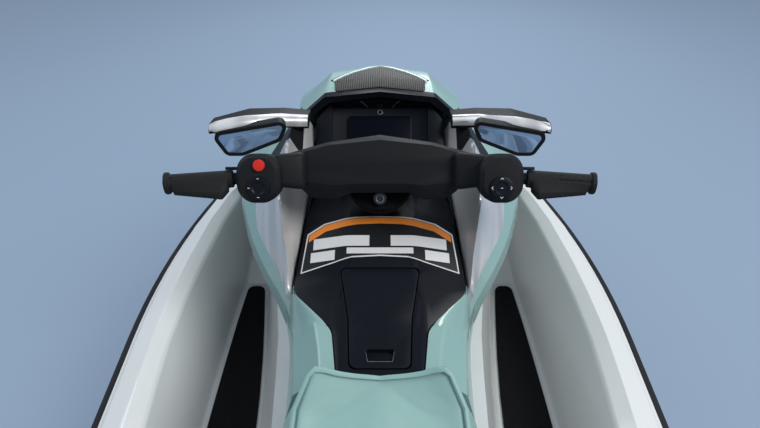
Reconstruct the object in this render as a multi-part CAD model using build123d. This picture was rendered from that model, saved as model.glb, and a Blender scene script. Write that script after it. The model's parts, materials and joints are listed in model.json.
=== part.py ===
from build123d import *
import math
import os

# A three-seat personal watercraft, 3.4 m long, afloat with nobody aboard.
# Frame: +Y points to the bow, +X to starboard, +Z up; the origin is amidships on the waterline.
# All sizes are in millimetres.

# Plan outline of the bond flange
HALF_BEAM = 618
BEAM_Y = 480
STERN_Y = -1690
STERN_HALF_BEAM = 568
BOW_ARC_R = 1500
NOSE_R = 150
STERN_CORNER_R = 90

# Sheer: the bond line seen from the side, an arc through three heights
SHEER_POINTS = [(-1700, 235), (300, 362), (1660, 470)]
FLANGE_DOWN = 24
FLANGE_UP = 18
HULL_INSET = 14

# Rubber rail on the flange
RAIL_THICK = 20
RAIL_DOWN = 17
RAIL_UP = 12

# Deck moulding
PLUG_INSET = 85
PLUG_Z = 140
PLUG_Y = (-1600, 1020)
PLATEAU_Z = 450
PLATEAU_Y = (-1080, 985)
SHOULDER_IN = 26
CREST_IN = 78
PLATFORM_Z = 256
PLATFORM_FRONT_Y = -1120
PLATFORM_HALF = 470

# Engine bay and engine
BAY_Y = (-760, 160)
BAY_HALF_LOW = 215
BAY_HALF_HIGH = 168
BAY_FLOOR_Z = -140
BAY_ROOF_Z = 405
ENGINE_WIDTH = 300
ENGINE_LENGTH = 740
ENGINE_HEIGHT = 480
ENGINE_REAR_Y = -740

# Jet pump
PUMP_Z = -110
PUMP_FRONT_Y = -1150
HOUSING_END_Y = -1400
VENTURI_END_Y = -1560
HOUSING_R = 86
HOUSING_WALL = 10
VENTURI_END_R = 56
VENTURI_BORE_R = 48
VENTURI_NECK_Y = -1480
PUMP_FLANGE_R = 104
MOUTH_FLANGE_R = 112
PUMP_BAY_HALF = 150
PUMP_BAY_ROOF_Z = 8
BUCKET_BAY_ROOF_Z = 105
BUCKET_BAY_FRONT_Y = -1440
INTAKE_HALF = 95
INTAKE_FRONT_Y = -560
SHAFT_R = 16
SHAFT_BORE_R = 24
IMPELLER_HUB_R = 24
IMPELLER_TIP_GAP = 5
IMPELLER_Y = (-1310, -1215)
IMPELLER_BLADES = 4
STATOR_VANES = 6

# Steering nozzle and reverse bucket
NOZZLE_PIVOT_Y = -1555
NOZZLE_BELL_R = 86
NOZZLE_END_R = 58
NOZZLE_WALL = 8
NOZZLE_END_Y = -1660
NOZZLE_FRONT_Y = -1530
PIVOT_PIN_R = 7
BUCKET_PIVOT = (-1545, -85)
BUCKET_R = 162
BUCKET_WALL = 8
BUCKET_HALF = 112
BUCKET_SPAN_DEG = 72
BUCKET_ARM_X = (97, 106)

# Boarding step on the transom
STEP_PIVOT = (-1716, 12)
STEP_HALF = 190
STEP_REACH = 205
STEP_TUBE_R = 10
STEP_BEND_R = 45

# Seats
SEAT_FRONT_Y = 206
SEAT_SPLIT_Y = -390
SEAT_REAR_Y = -1060
SEAT_GAP = 3

# Console between the knees, with its lid
CONSOLE_REAR_Y = 209
CONSOLE_FRONT_Y = 640
PANEL_GAP = 2
LID_REAR_Y = 226
LID_FRONT_Y = 418
LID_WAIST_Y = 322
LID_HALF_REAR = 54
LID_HALF_WAIST = 60
LID_HALF_FRONT = 78
LID_THICK = 12
LID_GAP = 2.5
GLOVE_HALF = 46
GLOVE_Y = (246, 400)
GLOVE_FLOOR_Z = 540

# Steering axis and bars
STEER_POINT = (0, 540, 860)
STEER_TILT_DEG = 27
COLUMN_R = 22
COLUMN_SPAN = (-152, 20)
BOSS_R = 38
BOSS_TOP = -98
RUNNING_GAP = 0.05
PAD_CENTRE = (0, 507, 905)
PAD_NORMAL = (0, -0.83, 0.557)
BAR_CENTRE = (0, 536, 886)
BAR_R = 11
BAR_KNEE = (100, 190)
BAR_SWEEP = (58, 90)
BAR_END_X = 386
GRIP_R = 16
GRIP_START_X = 268
PALM_REACH = 40
POD_CENTRE = (220, 464, 905)
POD_SIZE = (84, 88, 56)
POD_CORNER_R = 34

# Hood
HOOD_REAR_Y = 770
HOOD_FRONT_Y = 1490
HOOD_HINGE = (1478, 580)
HINGE_PIN_R = 5
HINGE_LUG_X = (108, 118)
HOOD_WALL = 12
LOCKER_HALF = 165
LOCKER_Y = (930, 1330)
LOCKER_FLOOR_Z = 472

# Eyes for lines
EYE_HOLE_R = 11
EYE_PLATE = 10
TOW_HOLE_R = 13


def smoothed(rows, step):
    """The same stations with more between them, on a curve that runs evenly through them all."""
    stations = []
    last = len(rows) - 1
    for k in range(last):
        low, high = rows[k], rows[k + 1]
        before, after = rows[max(k - 1, 0)], rows[min(k + 2, last)]
        span = high[0] - low[0]
        count = max(1, round(abs(span) / step))
        for n in range(count):
            t = n / count
            row = [low[0] + span * t]
            for a, b, c, d in list(zip(before, low, high, after))[1:]:
                start = (c - a) * span / (high[0] - before[0])
                end = (d - b) * span / (after[0] - low[0])
                bend = 3 * (c - b) - 2 * start - end
                turn = 2 * (b - c) + start + end
                row.append(b + t * start + t**2 * bend + t**3 * turn)
            stations.append(tuple(row))
    return stations + [rows[last]]


def circle_through(points):
    """Centre and radius of the circle through three (y, z) points."""
    arc = ThreePointArc(*points)
    return arc.arc_center.X, arc.arc_center.Y, arc.radius


SHEER_CY, SHEER_CZ, SHEER_R = circle_through(SHEER_POINTS)
STERN_LENGTH = BEAM_Y - STERN_Y
STERN_DROP = HALF_BEAM - STERN_HALF_BEAM
STERN_ARC_R = (STERN_LENGTH**2 + STERN_DROP**2) / (2 * STERN_DROP)


def sheer_z(y):
    """Height of the bond line at station y."""
    return SHEER_CZ - math.sqrt(SHEER_R**2 - (y - SHEER_CY) ** 2)


def half_beam(y):
    """Half breadth of the flange outline at station y."""
    radius = BOW_ARC_R if y > BEAM_Y else STERN_ARC_R
    return HALF_BEAM - radius + math.sqrt(radius**2 - (y - BEAM_Y) ** 2)


def section(y, corners):
    """Closed X-Z outline at station y. Each corner is (x, z) or (x, z, fillet radius)."""
    plane = Plane(origin=(0, y, 0), x_dir=(1, 0, 0), z_dir=(0, -1, 0))
    points = [c[:2] for c in corners]
    radii = [c[2] if len(c) > 2 else 0 for c in corners]
    if any(radii):
        line = FilletPolyline(*points, radius=radii, close=True)
    else:
        line = Polyline(*points, close=True)
    return plane * make_face(line)


def both_sides(right):
    """A closed outline from its right half, listed from the bottom centre to the top centre."""
    left = [(-c[0], *c[1:]) for c in reversed(right) if c[0] > 0]
    return right + left


def side_prism(outline, low_x, high_x):
    """A Y-Z outline given as (y, z) or (y, z, fillet radius), extruded from low_x to high_x."""
    plane = Plane(origin=(low_x, 0, 0), x_dir=(0, 1, 0), z_dir=(1, 0, 0))
    points = [c[:2] for c in outline]
    radii = [c[2] if len(c) > 2 else 0 for c in outline]
    if any(radii):
        line = FilletPolyline(*points, radius=radii, close=True)
    else:
        line = Polyline(*points, close=True)
    return extrude(plane * make_face(line), high_x - low_x)


def plan_prism(outline, low_z, high_z):
    """An X-Y outline given as (x, y) or (x, y, fillet radius), extruded from low_z to high_z."""
    points = [c[:2] for c in outline]
    radii = [c[2] if len(c) > 2 else 0 for c in outline]
    if any(radii):
        line = FilletPolyline(*points, radius=radii, close=True)
    else:
        line = Polyline(*points, close=True)
    return extrude(Plane.XY.offset(low_z) * make_face(line), high_z - low_z)


def block(x, y, z):
    """A box between the low and high values of each axis."""
    size = (x[1] - x[0], y[1] - y[0], z[1] - z[0])
    centre = ((x[0] + x[1]) / 2, (y[0] + y[1]) / 2, (z[0] + z[1]) / 2)
    return Pos(*centre) * Box(*size)


def rod(start, end, radius):
    """A round bar from start to end."""
    a, b = Vector(*start), Vector(*end)
    plane = Plane(origin=a, z_dir=b - a)
    return extrude(plane * Circle(radius), (b - a).length)


def port(shape):
    """The same piece on the port side."""
    return mirror(shape, about=Plane.YZ)


def outline_face(grow):
    """The plan outline, grown outwards by an offset."""
    half, arc = HALF_BEAM + grow, BOW_ARC_R + grow
    stern_half, stern_y = STERN_HALF_BEAM + grow, STERN_Y - grow
    tip_y = BEAM_Y + math.sqrt(arc**2 - (arc - half) ** 2)
    mid_y = (BEAM_Y + tip_y) / 2
    mid_x = half - arc + math.sqrt(arc**2 - (mid_y - BEAM_Y) ** 2)
    aft_y = (BEAM_Y + stern_y) / 2
    aft_x = half - STERN_ARC_R + math.sqrt(STERN_ARC_R**2 - (aft_y - BEAM_Y) ** 2)
    edges = []
    for side in (1, -1):
        edges.append(ThreePointArc((side * stern_half, stern_y), (side * aft_x, aft_y), (side * half, BEAM_Y)))
        edges.append(ThreePointArc((side * half, BEAM_Y), (side * mid_x, mid_y), (0, tip_y)))
    edges.append(Line((-stern_half, stern_y), (stern_half, stern_y)))
    face = make_face(Curve() + edges)
    nose = face.vertices().sort_by(Axis.Y)[-1]
    face = fillet(nose, NOSE_R + grow)
    corners = face.vertices().sort_by(Axis.Y)[:2]
    return fillet(corners, STERN_CORNER_R + grow)


def sheer_band(low, high):
    """Everything between two heights above the sheer, right across the craft."""
    ends = (-1900, 0, 1900)
    lower = [(y, sheer_z(y) + low) for y in ends]
    upper = [(y, sheer_z(y) + high) for y in ends]
    edges = [
        ThreePointArc(*lower),
        Line(lower[2], upper[2]),
        ThreePointArc(*reversed(upper)),
        Line(upper[0], lower[0]),
    ]
    plane = Plane(origin=(-800, 0, 0), x_dir=(0, 1, 0), z_dir=(1, 0, 0))
    return extrude(plane * make_face(Curve() + edges), 1600)


def outline_solid(grow):
    return extrude(Plane.XY.offset(-500) * outline_face(grow), 1500)


# Hull bottom stations: y, keel z, strake x, chine x, chine z
HULL_ROWS = smoothed([
    (STERN_Y, -235, 250, 520, -45),
    (-1000, -245, 255, 545, -42),
    (-200, -250, 258, 550, -32),
    (500, -250, 250, 532, 5),
    (950, -212, 215, 455, 72),
    (1250, -110, 165, 335, 160),
    (1450, 25, 110, 222, 245),
    (1575, 165, 65, 130, 325),
    (1640, 300, 30, 62, 385),
], 140)
STRAKE_FLAT = 22
CHINE_FLAT = 30


def hull_shell():
    """The lower hull's outer form: a vee bottom with one strake and one chine flat a side."""
    faces = []
    for y, keel, strake, chine, chine_height in HULL_ROWS:
        scale = chine / 550
        rise = (chine_height - keel) / (chine - (STRAKE_FLAT + CHINE_FLAT) * scale)
        strake_height = keel + strake * rise
        inner_chine = chine - CHINE_FLAT * scale
        top = half_beam(y) - HULL_INSET
        sheer = sheer_z(y)
        flare = (top - chine) / (sheer - chine_height)
        right = [
            (0, keel),
            (strake, strake_height),
            (strake + STRAKE_FLAT * scale, strake_height),
            (inner_chine, chine_height),
            (chine, chine_height),
            (top + flare * 60, sheer + 60),
        ]
        faces.append(section(y, both_sides(right)))
    return loft(faces, ruled=True)


def plug():
    """The part of the deck moulding that hangs inside the hull."""
    return outline_solid(-PLUG_INSET) & block((-700, 700), PLUG_Y, (PLUG_Z, 560))


def engine_bay():
    low = block((-BAY_HALF_LOW, BAY_HALF_LOW), BAY_Y, (BAY_FLOOR_Z, PLUG_Z))
    high = block((-BAY_HALF_HIGH, BAY_HALF_HIGH), BAY_Y, (PLUG_Z, BAY_ROOF_Z))
    return low + high


def pump_tunnel():
    """The pump bay at the stern, the bucket's headroom and the sloping intake duct."""
    bay = extrude(
        section(STERN_Y - 40, both_sides([
            (0, -400), (PUMP_BAY_HALF, -400), (PUMP_BAY_HALF, PUMP_BAY_ROOF_Z, 60), (0, PUMP_BAY_ROOF_Z)])),
        -(PUMP_FRONT_Y - STERN_Y + 40))
    head = extrude(
        section(STERN_Y - 40, both_sides([
            (0, -200), (PUMP_BAY_HALF, -200), (PUMP_BAY_HALF, BUCKET_BAY_ROOF_Z, 50), (0, BUCKET_BAY_ROOF_Z)])),
        -(BUCKET_BAY_FRONT_Y - STERN_Y + 40))
    duct = side_prism([
        (PUMP_FRONT_Y - 1, -400), (PUMP_FRONT_Y - 1, PUMP_Z + 80), (PUMP_FRONT_Y + 120, PUMP_Z + 70, 150),
        (INTAKE_FRONT_Y, -262), (INTAKE_FRONT_Y, -400)], -INTAKE_HALF, INTAKE_HALF)
    shaft = rod((0, PUMP_FRONT_Y, PUMP_Z), (0, BAY_Y[0] + 1, PUMP_Z), SHAFT_BORE_R)
    return bay + head + duct + shaft


def make_hull():
    body = hull_shell() & sheer_band(-900, 0) & outline_solid(0)
    flange = outline_solid(0) & sheer_band(-FLANGE_DOWN, 0)
    return body + flange - plug() - engine_bay() - pump_tunnel()


# Deck stations: y, crest above the sheer, height of the centreline
DECK_ROWS = smoothed([
    (STERN_Y + 6, 20, PLATFORM_Z),
    (-1250, 46, 480),
    (-700, 68, 485),
    (0, 76, 490),
    (500, 78, 495),
    (1000, 76, 520),
    (1350, 62, 525),
    (1540, 44, 512),
    (1640, 26, 497),
], 160)
# Footwell stations: y, floor z, floor inner x, floor outer x, wall top x, pedestal x
WELL_ROWS = smoothed([
    (-1200, 256, 262, 448, 468, 190),
    (-700, 214, 274, 458, 480, 190),
    (0, 180, 290, 463, 484, 192),
    (450, 172, 318, 464, 508, 226),
    (700, 172, 350, 460, 488, 282),
    (850, 186, 372, 448, 466, 318),
    (960, 270, 382, 428, 440, 340),
    (1070, 500, 388, 410, 418, 362),
], 120)


def crest_height(y):
    """Height of the gunwale's crest at station y, between the deck's stations."""
    rows = DECK_ROWS
    for (y0, c0, _), (y1, c1, _) in zip(rows, rows[1:]):
        if y <= y1:
            break
    return sheer_z(y) + c0 + (c1 - c0) * (y - y0) / (y1 - y0)


def footwell():
    """What is scooped out of the deck for one foot tray, starboard side."""
    faces = []
    for y, floor, inner, outer, wall, pedestal in WELL_ROWS:
        crest = max(crest_height(y), floor + 50)
        faces.append(section(y, [
            (pedestal, 760), (pedestal, PLATEAU_Z + 60), (inner, floor, 10), (outer, floor, 12),
            (wall, crest - 22, 20), (wall + 44, crest + 8), (wall + 60, 760)]))
    return loft(faces, ruled=True)


def locker():
    """The front stowage well under the hood."""
    return block((-LOCKER_HALF, LOCKER_HALF), LOCKER_Y, (LOCKER_FLOOR_Z, 900))


def make_deck():
    faces = []
    for y, rise, centre in DECK_ROWS:
        sheer, half = sheer_z(y), half_beam(y)
        crest = sheer + rise
        shoulder = min(SHOULDER_IN, half * 0.3)
        crown = min(CREST_IN, half * 0.6)
        faces.append(section(y, both_sides([
            (0, sheer - 60), (half - 10, sheer - 60), (half - 10, sheer + 8),
            (half - shoulder, sheer + rise * 0.7, 12), (half - crown, crest, 26), (0, centre)])))
    body = loft(faces, ruled=True) & sheer_band(0, 700) & outline_solid(0)
    flange = outline_solid(0) & sheer_band(0, FLANGE_UP)
    body = body + flange + (plug() & sheer_band(-500, 0))
    right = footwell()
    body = body - right - port(right)
    body -= block((-360, 360), PLATEAU_Y, (PLATEAU_Z, 800))
    body -= plan_prism([
        (-PLATFORM_HALF, PLATFORM_FRONT_Y, 60), (PLATFORM_HALF, PLATFORM_FRONT_Y, 60),
        (PLATFORM_HALF, STERN_Y - 60), (-PLATFORM_HALF, STERN_Y - 60)], PLATFORM_Z, 700)
    return body - engine_bay() - locker()


def make_rail():
    """The rubber rail round the flange, from one quarter round the bow to the other."""
    band = outline_solid(RAIL_THICK) & sheer_band(-RAIL_DOWN, RAIL_UP)
    band = band - outline_solid(0)
    return band - block((-STERN_HALF_BEAM + 60, STERN_HALF_BEAM - 60), (STERN_Y - 100, STERN_Y + 30), (0, 600))


# Footwell mats: y of the two ends and the margins inside the floor
MAT_Y = (-1080, 835)
MAT_MARGIN = (12, 15)
MAT_THICK = 8
MAT_CORNER_R = 22


def well_floor(y):
    """Floor height, inner edge and outer edge of the footwell at station y."""
    for low, high in zip(WELL_ROWS, WELL_ROWS[1:]):
        if y <= high[0]:
            break
    part = (y - low[0]) / (high[0] - low[0])
    return [low[k] + part * (high[k] - low[k]) for k in (1, 2, 3)]


def make_foot_mat():
    stations = [MAT_Y[0]] + [row[0] for row in WELL_ROWS if MAT_Y[0] < row[0] < MAT_Y[1]] + [MAT_Y[1]]
    faces = []
    for y in stations:
        floor, inner, outer = well_floor(y)
        low_x, high_x = inner + MAT_MARGIN[0], outer - MAT_MARGIN[1]
        faces.append(section(y, [
            (low_x, floor), (high_x, floor), (high_x, floor + MAT_THICK), (low_x, floor + MAT_THICK)]))
    mat = loft(faces, ruled=True)
    return fillet(mat.edges().filter_by(Axis.Z).group_by(Axis.Y)[-1], MAT_CORNER_R)


def make_boarding_mat():
    half = PLATFORM_HALF - 22
    return plan_prism([
        (-half, -1225, 40), (half, -1225, 40), (half, -1672, 60), (-half, -1672, 60)],
        PLATFORM_Z, PLATFORM_Z + MAT_THICK)


def make_engine():
    """One plain block, with a blind socket for the driveshaft."""
    half = ENGINE_WIDTH / 2
    body = block((-half, half), (ENGINE_REAR_Y, ENGINE_REAR_Y + ENGINE_LENGTH),
                 (BAY_FLOOR_Z, BAY_FLOOR_Z + ENGINE_HEIGHT))
    return body - rod((0, ENGINE_REAR_Y - 5, PUMP_Z), (0, ENGINE_REAR_Y + 24, PUMP_Z), SHAFT_R + RUNNING_GAP)


# Seat stations: y, base x, side x, side z, top x, top z, crown z
SEAT_FRONT_ROWS = smoothed([
    (SEAT_FRONT_Y - SEAT_GAP, 176, 186, 520, 116, 700, 668),
    (140, 180, 192, 515, 146, 652, 640),
    (40, 182, 194, 512, 150, 612, 618),
    (-110, 182, 194, 510, 146, 594, 608),
    (-290, 182, 194, 512, 140, 606, 622),
    (SEAT_SPLIT_Y + SEAT_GAP, 182, 192, 512, 132, 680, 694),
], 50)
SEAT_REAR_ROWS = smoothed([
    (SEAT_SPLIT_Y - SEAT_GAP, 182, 192, 512, 134, 688, 702),
    (-640, 176, 186, 512, 136, 690, 706),
    (-930, 160, 170, 515, 124, 716, 732),
    (SEAT_REAR_Y, 138, 146, 520, 104, 700, 714),
], 110)


def make_seat(rows):
    faces = []
    for y, base, side, side_z, top, top_z, crown in rows:
        faces.append(section(y, both_sides([
            (0, PLATEAU_Z), (base, PLATEAU_Z), (side, side_z, 12), (top, top_z, 24), (0, crown)])))
    return loft(faces, ruled=True)


# Cowl stations: y, foot x, bulge x and z, crease x and z, top x and z, inner x and z
COWL_ROWS = smoothed([
    (SEAT_FRONT_Y + SEAT_GAP, 180, 186, 500, 160, 596, 105, 650, 60, 652),
    (330, 186, 194, 502, 174, 604, 128, 664, 80, 668),
    (430, 200, 212, 510, 206, 585, 186, 650, 150, 690),
    (530, 246, 266, 520, 264, 580, 222, 668, 160, 722),
    (640, 300, 326, 525, 320, 585, 262, 690, 165, 750),
    (765, 346, 374, 535, 364, 605, 290, 716, 196, 796),
    (900, 382, 408, 540, 390, 620, 300, 718, 208, 782),
    (1050, 372, 392, 540, 372, 610, 290, 682, 215, 734),
    (1250, 290, 305, 535, 288, 580, 245, 620, 186, 654),
    (1400, 205, 218, 520, 200, 548, 175, 570, 140, 592),
    (1500, 140, 148, 500, 132, 524, 115, 538, 96, 548),
], 60)
COWL_SPLIT_Y = 900
NOSE_FLOOR_Z = 478
COWL_SEAM = 3


def cowl_form(low_y, high_y):
    """The mint fairing's outer form, whole across the craft, between two of its stations."""
    faces = []
    for y, foot, bulge, bulge_z, crease, crease_z, top, top_z, inner, inner_z in COWL_ROWS:
        floor = PLATEAU_Z if y < 1000 else NOSE_FLOOR_Z
        if low_y <= y <= high_y:
            faces.append(section(y, both_sides([
                (0, floor), (foot, floor), (bulge, bulge_z, 12), (crease, crease_z, 10),
                (top, top_z, 12), (inner, inner_z, 8), (0, inner_z)])))
    return loft(faces, ruled=True)


def console_plan(grow):
    """The console's outline from above, grown outwards."""
    half = [
        (76 + grow, CONSOLE_REAR_Y - grow, 10), (90 + grow, 305, 40), (174 + grow, 385, 18),
        (158 + grow, 530, 60), (148 + grow, CONSOLE_FRONT_Y + grow)]
    return half + [(-c[0], *c[1:]) for c in reversed(half)]


# Console top stations: y, centre z, edge z
CONSOLE_ROWS = [
    (190, 652, 640), (300, 668, 648), (400, 704, 680), (450, 722, 700), (530, 746, 728), (660, 752, 742)]


def console_top():
    """Everything under the console's crowned top."""
    faces = []
    for y, centre, edge in CONSOLE_ROWS:
        faces.append(section(y, both_sides([
            (0, PLATEAU_Z), (200, PLATEAU_Z), (200, edge - 4), (70, centre, 90), (0, centre)])))
    return loft(faces, ruled=True)


def lid_plan(grow):
    half = [
        (LID_HALF_REAR + grow, LID_REAR_Y - grow, 14), (LID_HALF_WAIST + grow, LID_WAIST_Y, 60),
        (LID_HALF_FRONT + grow, LID_FRONT_Y + grow, 8)]
    return half + [(-c[0], *c[1:]) for c in reversed(half)]


def steer_point(along):
    """A point on the steering axis, measured upwards from STEER_POINT."""
    tilt = math.radians(STEER_TILT_DEG)
    return (0, STEER_POINT[1] - along * math.sin(tilt), STEER_POINT[2] + along * math.cos(tilt))


def make_console(top):
    """The console with the steering head's collar and the stowage box under the lid."""
    body = plan_prism(console_plan(0), PLATEAU_Z, 900) & top
    boss = rod(steer_point(-175), steer_point(BOSS_TOP), BOSS_R)
    body += boss & block((-100, 100), (400, CONSOLE_FRONT_Y), (600, 900))
    body -= rod(steer_point(COLUMN_SPAN[0] - 3), steer_point(60), COLUMN_R + RUNNING_GAP)
    lowered = Pos(0, 0, -LID_THICK) * top
    body -= plan_prism(lid_plan(LID_GAP), 500, 900) - lowered
    return body - block((-GLOVE_HALF, GLOVE_HALF), GLOVE_Y, (GLOVE_FLOOR_Z, 900))


def make_lid(top):
    """The console's stowage lid, with a finger pull at its rear."""
    lowered = Pos(0, 0, -LID_THICK) * top
    body = (plan_prism(lid_plan(0), 500, 900) & top) - lowered
    pull = plan_prism([(-22, 238, 4), (22, 238, 4), (27, 262, 5), (-27, 262, 5)], 651, 760)
    return body - pull


GAUGE_HALF = 148
GAUGE_BAY_HALF = 112
GAUGE_FLOOR = [(700, 772), (800, 862)]


def make_fairing():
    body = cowl_form(0, COWL_SPLIT_Y) - plan_prism(console_plan(PANEL_GAP), 400, 900)
    edge = GAUGE_HALF + PANEL_GAP
    body -= block((-edge, edge), (CONSOLE_FRONT_Y, 1000), (400, 900))
    return body & block((60, 500), (0, 1200), (0, 900))


def make_gauge_housing():
    """A wedge that faces the rider, with a sunk display bay between two cheeks."""
    rear = CONSOLE_FRONT_Y + PANEL_GAP
    wedge = side_prism([
        (rear, PLATEAU_Z), (rear, 756), (672, 782, 6), (800, 892, 10), (COWL_SPLIT_Y, 892),
        (COWL_SPLIT_Y, PLATEAU_Z)], -GAUGE_HALF, GAUGE_HALF)
    ends = section(rear - 10, both_sides([
        (0, 400), (GAUGE_HALF, 400), (GAUGE_HALF, 854), (106, 889), (0, 894)]))
    wedge = wedge & extrude(ends, -400)
    low, high = GAUGE_FLOOR
    bay = side_prism([(660, 796), low, high, (772, 930), (640, 880)], -GAUGE_BAY_HALF, GAUGE_BAY_HALF)
    return wedge - bay


def make_screen():
    low, high = GAUGE_FLOOR
    length = math.hypot(high[0] - low[0], high[1] - low[1])
    normal = (0, -(high[1] - low[1]) / length, (high[0] - low[0]) / length)
    centre = (0, (low[0] + high[0]) / 2, (low[1] + high[1]) / 2)
    return extrude(Plane(origin=centre, x_dir=(1, 0, 0), z_dir=normal) * RectangleRounded(150, 92, 8), 8)


# Blade stations: y, inner x and z, ridge x and z, outer x and z
BLADE_ROWS = smoothed([
    (392, 178, 664, 184, 674, 190, 658),
    (440, 177, 690, 188, 728, 208, 660),
    (500, 170, 716, 202, 800, 240, 664),
    (580, 164, 748, 206, 850, 282, 676),
    (680, 158, 790, 196, 872, 300, 690),
    (760, 151, 820, 180, 886, 300, 712),
], 50)


def make_blade(core):
    """The silver knee blade, a long ridged wedge on the fairing."""
    faces = []
    for y, inner, inner_z, ridge, ridge_z, outer, outer_z in BLADE_ROWS:
        faces.append(section(y, [
            (inner, inner_z - 60), (inner, inner_z), (ridge, ridge_z),
            (outer, outer_z), (outer - 12, outer_z - 40)]))
    body = loft(faces, ruled=True) - core
    return body - plan_prism(console_plan(PANEL_GAP), 400, 760)


# Hood stations: y, low x and z, side x and z, top x and z, crown z
HOOD_ROWS = smoothed([
    (HOOD_REAR_Y, 196, 806, 190, 850, 128, 906, 920),
    (880, 208, 796, 202, 842, 118, 916, 930),
    (1050, 214, 742, 206, 788, 104, 838, 850),
    (1250, 184, 662, 174, 700, 88, 746, 756),
    (1400, 138, 600, 128, 630, 68, 664, 672),
    (HOOD_FRONT_Y, 96, 560, 88, 584, 46, 606, 612),
], 60)


def hood_form(inset):
    faces = []
    for y, low, low_z, side, side_z, top, top_z, crown in HOOD_ROWS:
        faces.append(section(y, both_sides([
            (0, low_z), (low - inset, low_z), (side - inset, side_z - inset * 0.4, 14),
            (top - inset, top_z - inset, 16), (0, crown - inset)])))
    return loft(faces, ruled=True)


def make_hood():
    """The hood's shell, open underneath and at its rear edge over the gauges."""
    inner = hood_form(HOOD_WALL) & block((-400, 400), (0, HOOD_FRONT_Y - 24), (0, 1200))
    body = hood_form(0) - inner - (Pos(0, 0, -HOOD_WALL) * inner)
    return body - rod((-150, *HOOD_HINGE), (150, *HOOD_HINGE), HINGE_PIN_R + RUNNING_GAP)


def make_hood_panel(outer):
    """The dark inlay across the hood's rear, rounded in front and 3 mm proud."""
    skin = hood_form(-3) - outer
    rear = HOOD_REAR_Y + 16
    return skin & plan_prism([
        (-104, rear, 8), (104, rear, 8), (106, rear + 42, 20), (60, rear + 76, 60), (0, rear + 94, 90),
        (-60, rear + 76, 60), (-106, rear + 42, 20)], 750, 1000)


def make_nose_cowl(deck):
    """The nose fairing under the hood, with the stowage well cut through it."""
    body = cowl_form(COWL_SPLIT_Y, 1500)
    body = body & block((-500, 500), (COWL_SPLIT_Y + COWL_SEAM, 1500), (0, 900))
    y, z = HOOD_HINGE
    near, far = HINGE_LUG_X
    body -= rod((2 - near, y, z), (near - 2, y, z), 34)
    for side in (1, -1):
        low, high = sorted((side * near, side * far))
        body += block((low, high), (y - 12, y + 12), (520, z)) + rod((low, y, z), (high, y, z), 12)
    body += rod((-near, y, z), (near, y, z), HINGE_PIN_R)
    return body - deck - locker()


# Mirror arm sections: x, rear y, front y, low z, high z
MIRROR_ARM_ROWS = [
    (160, 706, 760, 862, 886),
    (215, 676, 736, 882, 904),
    (285, 640, 706, 896, 918),
    (354, 622, 672, 898, 914),
]
MIRROR_CENTRE = (270, 630, 880)
MIRROR_FACING = (-0.17, -0.985, 0.03)
# The glass seen along MIRROR_FACING: outboard and up from its centre, with each corner's radius
MIRROR_OUTLINE = [(71, 15, 9), (53, -27, 9), (25, -30, 20), (-54, -4, 14), (-71, 28, 7)]
MIRROR_GLASS_THICK = 4
MIRROR_RIM = 8
MIRROR_DEPTH = 22


def mirror_face(grow):
    """The mirror's five-sided outline, grown outwards, in a plane that faces aft and a little inboard."""
    facing = Vector(*MIRROR_FACING).normalized()
    across = Vector(0, 0, 1).cross(facing)
    plane = Plane(origin=MIRROR_CENTRE, x_dir=across, z_dir=facing)
    points = [c[:2] for c in MIRROR_OUTLINE]
    radii = [c[2] for c in MIRROR_OUTLINE]
    face = make_face(FilletPolyline(*points, radius=radii, close=True))
    return plane * (offset(face, grow) if grow else face)


def make_mirror(blade):
    """A wing-shaped arm that carries the mirror's frame below it."""
    faces = []
    for x, rear, front, low, high in MIRROR_ARM_ROWS:
        plane = Plane(origin=(x, 0, 0), x_dir=(0, 1, 0), z_dir=(1, 0, 0))
        outline = [(rear, low), (front, low + 8), (front, high - 6), (rear + 14, high), (rear, high - 8)]
        faces.append(plane * make_face(Polyline(*outline, close=True)))
    body = loft(faces, ruled=True) + extrude(mirror_face(MIRROR_RIM), -MIRROR_DEPTH)
    return body - make_mirror_glass() - blade


def make_mirror_glass():
    return extrude(mirror_face(0), -MIRROR_GLASS_THICK)


def bar_plane():
    """Local x runs to starboard and local y runs back along the bars' sweep."""
    run = Vector(0, -90, 14).normalized()
    return Plane(origin=BAR_CENTRE, x_dir=(1, 0, 0), z_dir=Vector(1, 0, 0).cross(run))


def bar_points():
    knee, wrist = BAR_KNEE
    near, far = BAR_SWEEP
    return [(-BAR_END_X, far), (-wrist, near), (-knee, 0), (knee, 0), (wrist, near), (BAR_END_X, far)]


def make_handlebar():
    plane = bar_plane()
    path = plane * FilletPolyline(*bar_points(), radius=40)
    start = plane.from_local_coords(Vector(*bar_points()[0], 0))
    after = plane.from_local_coords(Vector(*bar_points()[1], 0))
    return sweep(Plane(origin=start, z_dir=after - start) * Circle(BAR_R), path=path)


# Yoke blocks on the column: low and high along the axis, width, depth
YOKE_ROWS = [(-92, -36, 92, 64), (2, 42, 92, 62)]


def make_column():
    """The steering column and the yoke that clamps the bars."""
    body = rod(steer_point(COLUMN_SPAN[0]), steer_point(COLUMN_SPAN[1]), COLUMN_R)
    up = Vector(*steer_point(1)) - Vector(*steer_point(0))
    for low, high, wide, deep in YOKE_ROWS:
        level = Plane(origin=steer_point(low), x_dir=(1, 0, 0), z_dir=up)
        body += extrude(level * RectangleRounded(wide, deep, 12), high - low)
    return body


# Pad outlines in the pad's own plane, starboard half from the bottom up
PAD_FACE = [(54, -40), (70, -42), (84, -43), (132, -38), (170, -24), (163, 14), (97, 32), (0, 42)]
PAD_RIM = [(54, -58), (66, -62), (84, -71), (132, -67), (176, -30), (172, 18), (99, 38), (0, 52)]
# Pad sections: depth behind the rear plane, outline, scale
PAD_ROWS = [(2, PAD_FACE, 1.0), (-12, PAD_RIM, 1.0), (-56, PAD_RIM, 0.97), (-80, PAD_RIM, 0.76)]


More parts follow.
